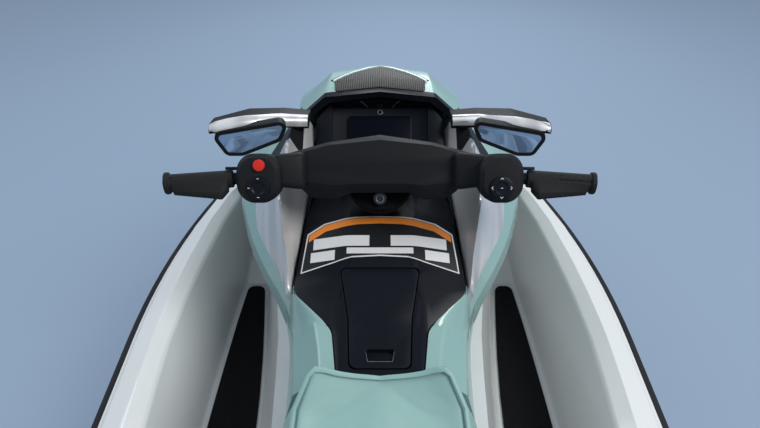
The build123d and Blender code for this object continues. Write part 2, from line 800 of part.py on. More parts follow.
def make_pad(bar, column):
    """The wide faceted pad over the bar clamp, with a chin below its rear face."""
    plane = Plane(origin=PAD_CENTRE, x_dir=(1, 0, 0), z_dir=PAD_NORMAL)
    faces = []
    for depth, half, scale in PAD_ROWS:
        points = [(x * scale, y * scale) for x, y in half]
        points += [(-x, y) for x, y in reversed(points) if x > 0]
        faces.append(plane.offset(depth) * make_face(Polyline(*points, close=True)))
    return loft(faces, ruled=True) - bar - column


def grip_line():
    """Start and direction of the starboard grip along the bar."""
    plane = bar_plane()
    knee, wrist = BAR_KNEE
    near, far = BAR_SWEEP
    inner = plane.from_local_coords(Vector(wrist, near, 0))
    outer = plane.from_local_coords(Vector(BAR_END_X, far, 0))
    run = (outer - inner).normalized()
    return inner + run * ((GRIP_START_X - wrist) / run.X), outer, run


def make_grip(bar):
    """A rubber grip with a rest for the palm behind it and a flange at its end."""
    start, end, run = grip_line()
    body = rod(start, end, GRIP_R)
    body += rod(end - run * 8, end, GRIP_R + 4)
    plane = Plane(origin=start + run * 10, x_dir=(0, -0.9, -0.436), z_dir=run)
    palm = Polyline(
        (0, GRIP_R), (0, -GRIP_R), (PALM_REACH - 8, -9), (PALM_REACH, -3), (PALM_REACH, 5),
        (PALM_REACH - 8, 10), close=True)
    return body + extrude(plane * make_face(palm), 96) - bar


def make_pod(bar):
    """A switch pod inboard of the grip."""
    width, height, depth = POD_SIZE
    plane = Plane(origin=POD_CENTRE, x_dir=(1, 0, 0), z_dir=PAD_NORMAL)
    body = extrude(plane.offset(-depth / 2) * RectangleRounded(width, height, POD_CORNER_R), depth)
    return chamfer(body.faces().sort_by(Axis(POD_CENTRE, PAD_NORMAL))[-1].edges(), 8) - bar


def turned(profile):
    """A profile of (y, r) pairs turned about the pump's axis."""
    line = Polyline(*[(0, y, PUMP_Z + r) for y, r in profile], close=True)
    return revolve(make_face(line), Axis((0, 0, PUMP_Z), (0, 1, 0)), 360)


def make_pump():
    """The impeller's housing between two flanges, with the stator's vanes and tail cone."""
    inner = HOUSING_R - HOUSING_WALL
    body = turned([
        (PUMP_FRONT_Y, inner), (PUMP_FRONT_Y, MOUTH_FLANGE_R), (PUMP_FRONT_Y - 14, MOUTH_FLANGE_R),
        (PUMP_FRONT_Y - 14, HOUSING_R), (HOUSING_END_Y + 12, HOUSING_R), (HOUSING_END_Y + 12, PUMP_FLANGE_R),
        (HOUSING_END_Y, PUMP_FLANGE_R), (HOUSING_END_Y, inner)])
    body += turned([
        (HOUSING_END_Y + 70, 0), (HOUSING_END_Y + 70, IMPELLER_HUB_R),
        (HOUSING_END_Y + 10, IMPELLER_HUB_R), (VENTURI_NECK_Y + 10, 0)])
    for k in range(STATOR_VANES):
        vane = Pos(0, HOUSING_END_Y + 40, PUMP_Z) * Rot(0, 360 * k / STATOR_VANES, 0)
        body += vane * Pos(0, 0, (IMPELLER_HUB_R + inner) / 2) * Box(4, 56, inner - IMPELLER_HUB_R + 6)
    return body


def make_venturi():
    """The venturi bolted behind the housing, with the nozzle's pivot pins and the bucket's arms."""
    body = turned([
        (HOUSING_END_Y, HOUSING_R - HOUSING_WALL), (HOUSING_END_Y, PUMP_FLANGE_R),
        (HOUSING_END_Y - 10, PUMP_FLANGE_R), (HOUSING_END_Y - 10, HOUSING_R - 3),
        (VENTURI_NECK_Y, VENTURI_END_R), (VENTURI_END_Y, VENTURI_END_R),
        (VENTURI_END_Y, VENTURI_BORE_R), (VENTURI_NECK_Y, VENTURI_BORE_R)])
    pivot_y, pivot_z = BUCKET_PIVOT
    near, far = BUCKET_ARM_X
    for side in (1, -1):
        low_end = (0, NOZZLE_PIVOT_Y, PUMP_Z + side * (VENTURI_END_R - 4))
        body += rod(low_end, (0, NOZZLE_PIVOT_Y, PUMP_Z + side * (NOZZLE_BELL_R + 8)), PIVOT_PIN_R)
        low, high = sorted((side * near, side * far))
        body += block((low, high), (pivot_y - 16, HOUSING_END_Y), (pivot_z - 18, pivot_z + 18))
        pin_end = BUCKET_HALF + BUCKET_WALL + 4
        body += rod((side * near, pivot_y, pivot_z), (side * pin_end, pivot_y, pivot_z), PIVOT_PIN_R)
    return body


def make_impeller():
    """Impeller, hub and driveshaft."""
    body = rod((0, IMPELLER_Y[0], PUMP_Z), (0, IMPELLER_Y[1], PUMP_Z), IMPELLER_HUB_R)
    body += rod((0, IMPELLER_Y[1] - 5, PUMP_Z), (0, ENGINE_REAR_Y + 20, PUMP_Z), SHAFT_R)
    tip = HOUSING_R - HOUSING_WALL - IMPELLER_TIP_GAP
    middle = (IMPELLER_Y[0] + IMPELLER_Y[1]) / 2
    blades = Part()
    for k in range(IMPELLER_BLADES):
        turn = Pos(0, middle, PUMP_Z) * Rot(0, 360 * k / IMPELLER_BLADES, 0)
        blades += turn * Pos(0, 0, 45) * Rot(0, 0, 52) * Box(5, 88, 90)
    ring = rod((0, IMPELLER_Y[0] + 2, PUMP_Z), (0, IMPELLER_Y[1] - 2, PUMP_Z), tip)
    return body + (blades & ring - rod((0, -1400, PUMP_Z), (0, -1100, PUMP_Z), 10))


def make_nozzle():
    """The steering nozzle, swung on two upright pins."""
    bell, wall = NOZZLE_BELL_R, NOZZLE_WALL
    shell = turned([
        (NOZZLE_FRONT_Y, bell - wall), (NOZZLE_FRONT_Y, bell), (NOZZLE_PIVOT_Y - 24, bell),
        (NOZZLE_END_Y, NOZZLE_END_R), (NOZZLE_END_Y, NOZZLE_END_R - wall), (NOZZLE_PIVOT_Y - 24, bell - wall)])
    bore = rod((0, NOZZLE_PIVOT_Y, PUMP_Z - 120), (0, NOZZLE_PIVOT_Y, PUMP_Z + 120), PIVOT_PIN_R + RUNNING_GAP)
    return shell - bore


def make_bucket():
    """The reverse bucket, parked above the nozzle."""
    y, z = BUCKET_PIVOT
    plane = Plane(origin=(-BUCKET_HALF - BUCKET_WALL, y, z), x_dir=(0, 1, 0), z_dir=(1, 0, 0))
    width = 2 * (BUCKET_HALF + BUCKET_WALL)
    high = BUCKET_R + 40
    wide = high * math.tan(math.radians(BUCKET_SPAN_DEG / 2))
    wedge = Polyline((0, 0), (wide, high), (-wide, high), close=True)
    body = extrude((plane * Circle(BUCKET_R)) & (plane * make_face(wedge)), width)
    for side in (1, -1):
        body += rod((side * BUCKET_HALF, y, z), (side * (BUCKET_HALF + BUCKET_WALL), y, z), 20)
    body -= block((-BUCKET_HALF, BUCKET_HALF), (y - 400, y + 400), (z - 60, z))
    hollow = extrude(plane * Circle(BUCKET_R - BUCKET_WALL), width)
    body -= hollow & block((-BUCKET_HALF, BUCKET_HALF), (y - 400, y + 400), (z - 400, z + 400))
    return body - rod((-200, y, z), (200, y, z), PIVOT_PIN_R + RUNNING_GAP)


def make_ride_plate():
    plate = section(-1640, both_sides([(0, -240), (PUMP_BAY_HALF, -186), (PUMP_BAY_HALF, -174), (0, -228)]))
    return extrude(plate, -(PUMP_FRONT_Y - 18 + 1640))


GRATE_BARS = 5


def make_grate():
    """Intake grate: bars along the duct's mouth between two crosspieces."""
    body = block((-INTAKE_HALF, INTAKE_HALF), (-1146, -1128), (-216, -190))
    body += block((-INTAKE_HALF, INTAKE_HALF), (-728, -704), (-216, -198))
    for k in range(GRATE_BARS):
        x = (k - (GRATE_BARS - 1) / 2) * 34
        body += block((x - 5, x + 5), (-1140, -715), (-216, -200))
    return body


# Sponson stations: y, height of the outer face, how far it stands out
SPONSON_ROWS = [(-1500, 20, 8), (-1350, 30, 16), (-900, 32, 16), (-640, 14, 4)]


def make_sponsons(hull_form):
    """The two long fins on the hull's sides, just above the chines."""
    faces = []
    for y, tall, out in SPONSON_ROWS:
        x = half_beam(y) - 20
        faces.append(section(y, [
            (x - 120, -36), (x - 26 + out, -26), (x - 20 + out, -26 + tall), (x - 120, 20 + tall)]))
    starboard = loft(faces, ruled=True) - hull_form
    return starboard + port(starboard)


def make_bow_eye():
    face_y = HULL_ROWS[-1][0]
    y, z = face_y + 26, 372
    body = rod((-EYE_PLATE / 2, y, z), (EYE_PLATE / 2, y, z), 19)
    body += block((-EYE_PLATE / 2, EYE_PLATE / 2), (face_y, y), (z - 19, z + 19))
    body += block((-22, 22), (face_y, face_y + 6), (z - 30, z + 30))
    return body - rod((-30, y, z), (30, y, z), EYE_HOLE_R)


def make_tow_eye():
    y, z = -1180, PLATFORM_Z + 34
    body = rod((-6, y, z), (6, y, z), 23)
    body += block((-6, 6), (y - 23, y + 23), (PLATFORM_Z, z))
    body += block((-32, 32), (y - 34, y + 34), (PLATFORM_Z, PLATFORM_Z + 8))
    return body - rod((-40, y, z), (40, y, z), TOW_HOLE_R)


def make_stern_eyes():
    y, z = STERN_Y - 27, 100
    eyes = Part()
    for side in (1, -1):
        x = side * 420
        one = rod((x - EYE_PLATE / 2, y, z), (x + EYE_PLATE / 2, y, z), 19)
        one += block((x - EYE_PLATE / 2, x + EYE_PLATE / 2), (y, STERN_Y), (z - 19, z + 19))
        one += block((x - 22, x + 22), (STERN_Y - 6, STERN_Y), (z - 30, z + 30))
        eyes += one - rod((x - 30, y, z), (x + 30, y, z), EYE_HOLE_R)
    return eyes


RAIL_HALF = 112


def make_grab_rail():
    """The handle behind the rear seat: a plinth and a loop of tube."""
    root = (0, SEAT_REAR_Y - 12, 512)
    plane = Plane(origin=root, x_dir=(1, 0, 0), z_dir=(0, 0.6, 0.8))
    reach = -88
    path = plane * FilletPolyline(
        (-RAIL_HALF, 0), (-RAIL_HALF, reach), (RAIL_HALF, reach), (RAIL_HALF, 0), radius=34)
    start = plane.from_local_coords(Vector(-RAIL_HALF, 0, 0))
    after = plane.from_local_coords(Vector(-RAIL_HALF, reach, 0))
    tube = sweep(Plane(origin=start, z_dir=after - start) * Circle(11), path=path)
    return tube + block((-128, 128), (SEAT_REAR_Y - 20, SEAT_REAR_Y - 3), (PLATEAU_Z, 540))


STEP_PIN_R = 6
STEP_LUGS = ((172, 178), (202, 208))


def make_step_brackets():
    y, z = STEP_PIVOT
    both = Part()
    for side in (1, -1):
        low, high = sorted((side * 166, side * 214))
        one = block((low, high), (STERN_Y - 6, STERN_Y), (z - 26, z + 26))
        for near, far in STEP_LUGS:
            low, high = sorted((side * near, side * far))
            one += block((low, high), (y, STERN_Y - 3), (z - 14, z + 14)) + rod((low, y, z), (high, y, z), 14)
        low, high = sorted((side * STEP_LUGS[0][0], side * STEP_LUGS[1][1]))
        both += one + rod((low, y, z), (high, y, z), STEP_PIN_R)
    return both


def make_step():
    """The boarding step, a U of tube folded up against the transom."""
    y, z = STEP_PIVOT
    plane = Plane(origin=(0, y, z), x_dir=(1, 0, 0), z_dir=(0, -1, 0))
    path = plane * FilletPolyline(
        (-STEP_HALF, 8), (-STEP_HALF, STEP_REACH), (STEP_HALF, STEP_REACH), (STEP_HALF, 8), radius=STEP_BEND_R)
    body = sweep(Plane(origin=(-STEP_HALF, y, z + 8), z_dir=(0, 0, 1)) * Circle(STEP_TUBE_R), path=path)
    for side in (1, -1):
        body += rod((side * STEP_HALF - 8, y, z), (side * STEP_HALF + 8, y, z), 14)
    return body - rod((-230, y, z), (230, y, z), STEP_PIN_R + RUNNING_GAP)


def write(name, shape):
    export_step(shape, os.path.join("parts", name + ".step"))


def write_pair(name, starboard):
    write(name + "_starboard", starboard)
    write(name + "_port", port(starboard))


def main():
    os.makedirs("parts", exist_ok=True)
    hull = make_hull()
    deck = make_deck()
    write("hull", hull)
    write("deck", deck)
    write("rub_rail", make_rail())
    write_pair("foot_mat", make_foot_mat())
    write("boarding_mat", make_boarding_mat())
    write("engine", make_engine())
    write("seat_front", make_seat(SEAT_FRONT_ROWS))
    write("seat_rear", make_seat(SEAT_REAR_ROWS))
    write_pair("fairing", make_fairing())
    blade = make_blade(cowl_form(0, COWL_SPLIT_Y))
    write_pair("knee_blade", blade)
    top = console_top()
    write("console", make_console(top))
    write("console_lid", make_lid(top))
    write("gauge_housing", make_gauge_housing())
    write("gauge_screen", make_screen())
    write("nose_cowl", make_nose_cowl(deck))
    write("hood", make_hood())
    write("hood_panel", make_hood_panel(hood_form(0)))
    write_pair("mirror", make_mirror(blade))
    write_pair("mirror_glass", make_mirror_glass())
    bar = make_handlebar()
    column = make_column()
    write("handlebar", bar)
    write("steering_column", column - bar)
    write("bar_pad", make_pad(bar, column))
    write_pair("grip", make_grip(bar))
    write_pair("switch_pod", make_pod(bar))
    write("pump_housing", make_pump())
    write("venturi", make_venturi())
    write("impeller", make_impeller())
    write("steering_nozzle", make_nozzle())
    write("reverse_bucket", make_bucket())
    write("ride_plate", make_ride_plate())
    write("intake_grate", make_grate())
    write("sponsons", make_sponsons(hull_shell() & sheer_band(-900, 0)))
    write("bow_eye", make_bow_eye())
    write("tow_eye", make_tow_eye())
    write("stern_eyes", make_stern_eyes())
    write("grab_rail", make_grab_rail())
    write("step_brackets", make_step_brackets())
    write("boarding_step", make_step())


main()
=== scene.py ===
import json
import math

import bpy
from mathutils import Matrix, Vector
from mathutils.bvhtree import BVHTree


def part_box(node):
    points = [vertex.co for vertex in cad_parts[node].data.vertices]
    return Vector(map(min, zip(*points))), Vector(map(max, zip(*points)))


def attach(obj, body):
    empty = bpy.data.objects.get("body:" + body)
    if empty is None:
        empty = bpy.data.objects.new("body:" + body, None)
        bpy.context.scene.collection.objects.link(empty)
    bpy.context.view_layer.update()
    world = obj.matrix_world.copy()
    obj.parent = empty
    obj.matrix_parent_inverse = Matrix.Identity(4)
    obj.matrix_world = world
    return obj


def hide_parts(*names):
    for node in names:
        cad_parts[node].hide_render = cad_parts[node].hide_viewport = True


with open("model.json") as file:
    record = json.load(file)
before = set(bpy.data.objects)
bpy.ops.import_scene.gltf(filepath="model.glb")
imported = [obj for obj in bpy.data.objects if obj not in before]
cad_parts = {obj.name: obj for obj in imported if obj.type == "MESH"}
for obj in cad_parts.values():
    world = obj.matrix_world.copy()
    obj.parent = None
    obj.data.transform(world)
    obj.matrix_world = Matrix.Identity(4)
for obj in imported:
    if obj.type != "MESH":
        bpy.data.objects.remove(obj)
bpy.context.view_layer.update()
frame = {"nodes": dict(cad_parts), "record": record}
NODES = frame["nodes"]
BODIES = frame["record"]["behaviour"]["bodies"]


# Shader toolkit

class Value:
    """A shader socket that takes part in Python arithmetic; each operation adds a Math node."""

    def __init__(self, shading, socket):
        self.shading = shading
        self.socket = socket

    def math(self, operation, *others):
        return self.shading.node("ShaderNodeMath", {"operation": operation}, [self, *others])

    def __add__(self, other):
        return self.math("ADD", other)

    __radd__ = __add__

    def __mul__(self, other):
        return self.math("MULTIPLY", other)

    __rmul__ = __mul__

    def __abs__(self):
        return self.math("ABSOLUTE")

    def wave(self, period):
        """Sine of this length, one turn per period, from -1 to 1."""
        return (self * (2 * math.pi / period)).math("SINE")

    def step(self, low, high):
        """Rises smoothly from 0 at low to 1 at high."""
        return self.shading.node("ShaderNodeMapRange", {"interpolation_type": "SMOOTHSTEP"},
                                 {"Value": self, "From Min": low, "From Max": high})


class Shading:
    """The node tree of a material or of the world."""

    def __init__(self, tree):
        self.tree = tree

    def node(self, kind, settings, inputs, output=0):
        """Adds a node, gives it its settings and then its inputs, and returns the named output."""
        made = self.tree.nodes.new(kind)
        for key, setting in settings.items():
            setattr(made, key, setting)
        pairs = inputs.items() if isinstance(inputs, dict) else enumerate(inputs)
        for key, given in pairs:
            self.feed(made.inputs[key], given)
        return Value(self, made.outputs[output])

    def feed(self, socket, given):
        if isinstance(given, Value):
            self.tree.links.new(given.socket, socket)
        else:
            socket.default_value = given


class Finish(Shading):
    """One procedural material, built round a Principled shader."""

    def __init__(self, name, color, roughness=0.5, metallic=0.0, **sockets):
        self.material = bpy.data.materials.new(name)
        self.material.use_nodes = True
        super().__init__(self.material.node_tree)
        self.shader = next(n for n in self.tree.nodes if n.type == "BSDF_PRINCIPLED")
        self.set("Base Color", (*color, 1))
        self.set("Roughness", roughness)
        self.set("Metallic", metallic)
        for socket, number in sockets.items():
            self.set(socket.replace("_", " "), number)
        self.material.diffuse_color = (*color, 1)
        self.place = self.node("ShaderNodeTexCoord", {}, {}, "Object")

    def set(self, name, given):
        self.feed(self.shader.inputs[name], given)

    def across(self):
        """Object x in metres, from the port side to the starboard side."""
        return self.node("ShaderNodeSeparateXYZ", {}, [self.place], "X")

    def noise(self, scale, detail=3.0, roughness=0.5, place=None):
        return self.node("ShaderNodeTexNoise", {}, {
            "Vector": place or self.place, "Scale": scale, "Detail": detail, "Roughness": roughness}, "Fac")

    def cells(self, scale, feature="F1"):
        return self.node("ShaderNodeTexVoronoi", {"feature": feature}, {
            "Vector": self.place, "Scale": scale}, "Distance")

    def stretched(self, scale):
        return self.node("ShaderNodeMapping", {}, {"Vector": self.place, "Scale": scale}, "Vector")

    def blend(self, mask, low, high):
        """A colour that goes from low to high with mask."""
        low = low if isinstance(low, Value) else (*low, 1)
        high = high if isinstance(high, Value) else (*high, 1)
        return self.node("ShaderNodeMix", {"data_type": "RGBA"}, {0: mask, 6: low, 7: high}, 2)

    def bump(self, height, distance, strength):
        self.set("Normal", self.node("ShaderNodeBump", {}, {
            "Height": height, "Distance": distance, "Strength": strength}, "Normal"))


# Finishes

MINT = (0.235, 0.395, 0.375)
SHELL = (0.62, 0.645, 0.65)
DULL = 0.12


def scaled(color, gain, lift=0.0):
    """A colour made darker or lighter."""
    return tuple(min(1, c * gain + lift) for c in color)


def gelcoat(name, color, flake=0.0):
    """Polished gelcoat: a clear coat over a faintly uneven colour, with fine scuffs and pearl flake."""
    f = Finish(name, color, 0.3, 0.0, Coat_Weight=0.45, Coat_Roughness=0.07, Specular_IOR_Level=0.4)
    cloud = f.noise(3.0, 4.0)
    shade = f.blend(cloud, scaled(color, 0.94), color)
    if flake:
        glint = f.noise(1500, 1.0).step(0.55, 0.8) * flake
        shade = f.blend(glint, shade, scaled(color, 1.25, 0.06))
    f.set("Base Color", shade)
    scuff = f.noise(60.0, 6.0, 0.7)
    f.set("Roughness", 0.24 + scuff * 0.14)
    f.bump(f.noise(7.0, 2.0), 0.0005, 0.2)
    return f


def moulded(name, color, grain=900, rough=0.5, depth=0.0002):
    """Moulded plastic with a fine leathery grain."""
    f = Finish(name, color, rough, Specular_IOR_Level=DULL)
    worn = f.noise(9.0, 5.0, 0.6)
    f.set("Base Color", f.blend(worn, color, scaled(color, 1.4, 0.003)))
    f.set("Roughness", rough - 0.06 + worn * 0.14)
    f.bump(f.cells(grain, "DISTANCE_TO_EDGE"), depth, 0.5)
    return f


def gloss_black(name):
    """Piano-black trim with a few hairline wipes."""
    f = Finish(name, (0.005, 0.006, 0.007), 0.18,
               Coat_Weight=0.3, Coat_Roughness=0.05, Specular_IOR_Level=0.3)
    wipe = f.noise(30.0, 5.0, 0.7, f.stretched((1, 6, 1)))
    f.set("Roughness", 0.14 + wipe * 0.16)
    return f


def foot_foam(name):
    """Closed-cell deck foam, cut in fine grooves along the craft, with a grain of its own."""
    f = Finish(name, (0.005, 0.005, 0.006), 0.9, Specular_IOR_Level=DULL)
    groove = abs(f.across().wave(0.024)).step(0.0, 0.35)
    grain = f.noise(700, 2.0)
    f.set("Base Color", f.blend(grain, (0.003, 0.003, 0.0035), (0.012, 0.012, 0.014)))
    f.set("Roughness", 0.8 + grain * 0.16)
    f.bump(groove * 0.7 + grain * 0.3, 0.0012, 0.8)
    return f


def rail_rubber(name):
    """Black rubber with a chalky haze."""
    f = Finish(name, (0.012, 0.012, 0.014), 0.62, Specular_IOR_Level=DULL)
    haze = f.noise(14, 5.0, 0.65)
    f.set("Base Color", f.blend(haze, (0.009, 0.010, 0.012), (0.026, 0.026, 0.028)))
    f.set("Roughness", 0.5 + haze * 0.25)
    f.bump(f.noise(400, 2.0), 0.0002, 0.5)
    return f


def vinyl(name, color):
    """Seat vinyl: a fine pebble grain, with a colour and a roughness that vary softly."""
    f = Finish(name, color, 0.5, Sheen_Weight=0.1, Sheen_Roughness=0.5, Specular_IOR_Level=0.35)
    pebble = f.cells(620)
    broad = f.noise(6.0, 4.0)
    f.set("Base Color", f.blend(broad, scaled(color, 0.93), scaled(color, 1.04)))
    f.set("Roughness", 0.42 + broad * 0.1 + pebble * 0.08)
    f.bump(pebble, 0.0003, 0.4)
    return f


def metal(name, color, rough):
    """Polished metal with fine brush lines."""
    f = Finish(name, color, rough, 1.0)
    line = f.noise(120, 3.0, 0.6, f.stretched((1, 1, 40)))
    f.set("Roughness", rough - 0.06 + line * 0.16)
    f.set("Base Color", f.blend(line, scaled(color, 0.85), color))
    f.bump(line, 0.00005, 0.4)
    return f


def cast(name, color):
    """Sand-cast alloy with a pitted skin."""
    f = Finish(name, color, 0.5, 0.9)
    pit = f.noise(300, 4.0, 0.7)
    f.set("Roughness", 0.4 + pit * 0.25)
    f.set("Base Color", f.blend(f.noise(8, 4.0), scaled(color, 0.8), color))
    f.bump(pit, 0.0003, 0.5)
    return f


def silver_paint(name):
    """Silver lacquer over moulded plastic, with long soft streaks of painted reflection in its colour."""
    f = Finish(name, (0.55, 0.555, 0.56), 0.34, 0.35, Coat_Weight=0.35, Coat_Roughness=0.08)
    # Painted reflection: long soft light and dark streaks put into the base colour.
    painted_reflection_streak = f.noise(6, 1.0, 0.4, f.stretched((5.0, 0.3, 0.4)))
    f.set("Base Color", f.blend(painted_reflection_streak.step(0.3, 0.7), (0.44, 0.44, 0.445), (0.66, 0.66, 0.665)))
    f.set("Roughness", 0.28 + f.noise(90, 3.0) * 0.08)
    return f


def mirror_glass(name):
    """Blue-tinted mirror with the faintest water marks."""
    f = Finish(name, (0.26, 0.38, 0.58), 0.03, 0.5)
    smear = f.noise(18, 5.0, 0.7)
    f.set("Roughness", 0.015 + smear * 0.04)
    return f


def screen_glass(name):
    """Dark display glass, nearly free of reflections."""
    f = Finish(name, (0.0015, 0.0022, 0.006), 0.3, Specular_IOR_Level=0.06)
    f.set("Roughness", 0.26 + f.noise(40, 5.0, 0.7) * 0.1)
    return f


def plain(name, color, rough, metallic=0.0, gloss=0.3):
    """A small printed or moulded part with a slightly uneven finish."""
    f = Finish(name, color, rough, metallic, Specular_IOR_Level=gloss)
    spot = f.noise(180, 4.0, 0.6)
    f.set("Roughness", rough - 0.06 + spot * 0.12)
    f.set("Base Color", f.blend(spot, scaled(color, 0.9), color))
    return f


def ribbed_panel(name):
    """The hood's dark inlay: warm grey with fine ribs that run fore and aft, with painted shade in their
    grooves and painted light on their crests.
    """
    f = Finish(name, (0.05, 0.046, 0.042), 0.55, Specular_IOR_Level=0.3)
    rib = f.across().wave(0.0052).step(-0.6, 0.6)
    # Painted shade and light: the colour darkens in each rib's groove and lightens on its crest; the bump
    # gives the ribs' relief.
    f.set("Base Color", f.blend(rib, (0.016, 0.016, 0.017), (0.085, 0.078, 0.070)))
    f.set("Roughness", 0.45 + f.noise(300, 2.0) * 0.2)
    f.bump(rib, 0.0008, 0.8)
    return f


shell_white = gelcoat("shell_gelcoat", SHELL, 0.3)
mint_coat = gelcoat("mint_gelcoat", MINT, 0.4)
hull_white = gelcoat("hull_gelcoat", (0.60, 0.625, 0.64))
black_grain = moulded("grained_black", (0.0065, 0.007, 0.008))
black_satin = moulded("satin_black", (0.0022, 0.0032, 0.0058), 1400, 0.32, 0.0001)
black_gloss = gloss_black("gloss_black")
foam = foot_foam("deck_foam")
rubber = rail_rubber("rail_rubber")
grip_rubber = moulded("grip_rubber", (0.010, 0.010, 0.010), 1200, 0.6, 0.0002)
seat_skin = vinyl("seat_vinyl", MINT)
steel = metal("polished_steel", (0.6, 0.6, 0.61), 0.25)
alloy = cast("pump_alloy", (0.3, 0.31, 0.33))
engine_alloy = cast("engine_alloy", (0.24, 0.25, 0.27))
silver = silver_paint("silver_lacquer")
mirror_face = mirror_glass("mirror_glass")
screen = screen_glass("display_glass")
inlay = ribbed_panel("hood_inlay")
print_white = plain("printed_white", (0.62, 0.63, 0.64), 0.45)
print_orange = plain("printed_orange", (0.72, 0.22, 0.03), 0.45)
worn_grey = plain("worn_grey", (0.20, 0.21, 0.22), 0.35, 0.6)
print_dark = plain("printed_dark", (0.008, 0.009, 0.010), 0.4)
button_red = plain("red_button", (0.62, 0.02, 0.012), 0.35)
pale_trim = plain("pale_mint_trim", (0.55, 0.68, 0.65), 0.3)
# This dark seal finish also gives the painted shadow of the gap behind the hood's arc line.
seal_black_and_painted_shadow = plain("seam_seal_and_painted_shadow", (0.005, 0.006, 0.007), 0.7, gloss=0.05)

NODE_FINISH = {node: finish for finish, nodes in (
    (hull_white, ("hull",)),
    (shell_white, ("deck",)),
    (rubber, ("rub_rail",)),
    (foam, ("foot_mat_starboard", "foot_mat_port", "boarding_mat")),
    (engine_alloy, ("engine",)),
    (seat_skin, ("seat_front", "seat_rear")),
    (mint_coat, ("fairing_starboard", "fairing_port", "nose_cowl", "hood")),
    (silver, ("knee_blade_starboard", "knee_blade_port")),
    (inlay, ("hood_panel",)),
    (screen, ("gauge_screen",)),
    (mirror_face, ("mirror_glass_starboard", "mirror_glass_port")),
    (grip_rubber, ("grip_starboard", "grip_port")),
    (black_satin, ("console", "console_lid", "gauge_housing", "handlebar", "steering_column")),
    (black_grain, ("mirror_starboard", "mirror_port", "bar_pad", "switch_pod_starboard", "switch_pod_port",
                   "reverse_bucket", "sponsons", "grab_rail")),
    (alloy, ("pump_housing", "venturi", "steering_nozzle", "ride_plate", "intake_grate")),
    (steel, ("impeller", "bow_eye", "tow_eye", "stern_eyes", "step_brackets", "boarding_step")),
) for node in nodes}
SIDES = ((1, "starboard"), (-1, "port"))


# Modelling helpers

def only(*objects):
    """Deselects everything, then selects these objects and makes the first one active."""
    bpy.ops.object.select_all(action="DESELECT")
    for one in objects:
        one.select_set(True)
    bpy.context.view_layer.objects.active = objects[0]


def edit(piece):
    """Opens a piece for editing with all of it selected."""
    only(piece)
    bpy.ops.object.mode_set(mode="EDIT")
    bpy.ops.mesh.select_all(action="SELECT")


def close():
    bpy.ops.object.mode_set(mode="OBJECT")


def paint(piece, finish):
    piece.data.materials.clear()
    piece.data.materials.append(finish.material)


def shape(piece, kind, **settings):
    """Gives a piece one modifier with these settings, and applies it."""
    step = piece.modifiers.new(kind.lower(), kind)
    for key, setting in settings.items():
        setattr(step, key, setting)
    only(piece)
    bpy.ops.object.modifier_apply(modifier=step.name)


def soften_edges(piece, width, segments=2, angle=30):
    shape(piece, "BEVEL", width=width, segments=segments, limit_method="ANGLE",
          angle_limit=math.radians(angle), harden_normals=False)


def body_of(node):
    return next(body for body, nodes in BODIES.items() if node in nodes)


def put(piece, finish, body, replaced=(), angle=30):
    """Finishes a piece: its material, smooth shading, the body it rides on and the nodes it stands for."""
    paint(piece, finish)
    only(piece)
    bpy.ops.object.transform_apply(location=True, rotation=True, scale=True)
    bpy.ops.object.shade_smooth_by_angle(angle=math.radians(angle))
    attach(piece, body)
    if replaced:
        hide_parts(*replaced)
    return piece


def linked(name, data):
    """A new object in the scene with this data."""
    made = bpy.data.objects.new(name, data)
    bpy.context.scene.collection.objects.link(made)
    return made


def merged_copy(node, name, whole_faces=True):
    """A copy of a CAD node with its loose triangles joined up and, if wanted, its flat faces made whole."""
    piece = linked(name, NODES[node].data.copy())
    edit(piece)
    bpy.ops.mesh.remove_doubles(threshold=0.00002)
    if whole_faces:
        bpy.ops.mesh.dissolve_limited(angle_limit=math.radians(0.4))
    close()
    return piece


def dressed(node, bevel=0.002, angle=30, segments=2):
    """A CAD node's own form with soft edges and smooth shading."""
    piece = merged_copy(node, node + "_skin")
    soften_edges(piece, bevel, segments, angle)
    return put(piece, NODE_FINISH[node], body_of(node), [node], angle)


def remeshed(node, name, voxel, rounds):
    """A copy of a CAD node cut anew into small even cells, and smoothed."""
    piece = merged_copy(node, name, False)
    piece.data.remesh_voxel_size = voxel
    only(piece)
    bpy.ops.object.voxel_remesh()
    shape(piece, "SMOOTH", factor=0.5, iterations=rounds)
    return piece


def piece_from(name, corners, faces):
    mesh = bpy.data.meshes.new(name)
    mesh.from_pydata([tuple(c) for c in corners], [], [list(f) for f in faces])
    return linked(name, mesh)


def face_out(piece):
    """Turns all faces of a piece the same way, outwards."""
    edit(piece)
    bpy.ops.mesh.normals_make_consistent(inside=False)
    close()


def grid_faces(rows, columns):
    """Four-sided faces between the points of a grid that is listed row by row."""
    return [(a, a + 1, a + columns + 1, a + columns)
            for k in range(rows - 1) for a in range(k * columns, (k + 1) * columns - 1)]


def directions(facing):
    """Across, up and outward directions of a surface that faces this way."""
    out = Vector(facing).normalized()
    across = Vector((0, 0, 1)).cross(out).normalized()
    return across, out.cross(across), out


def plate(name, outline, centre, facing, thick, bevel):
    """A flat plate whose outline is given across and up, standing out from a plane."""
    across, up, _ = directions(facing)
    corners = [Vector(centre) + across * a + up * b for a, b in outline]
    piece = piece_from(name, corners, [range(len(corners))])
    shape(piece, "SOLIDIFY", thickness=thick, offset=1)
    soften_edges(piece, bevel, 3, 40)
    return piece


def both_ways(half):
    """A line across the craft from port to starboard, given its starboard half from the outer end in."""
    return [(-x, y) for x, y in half] + [(x, y) for x, y in reversed(half) if x]


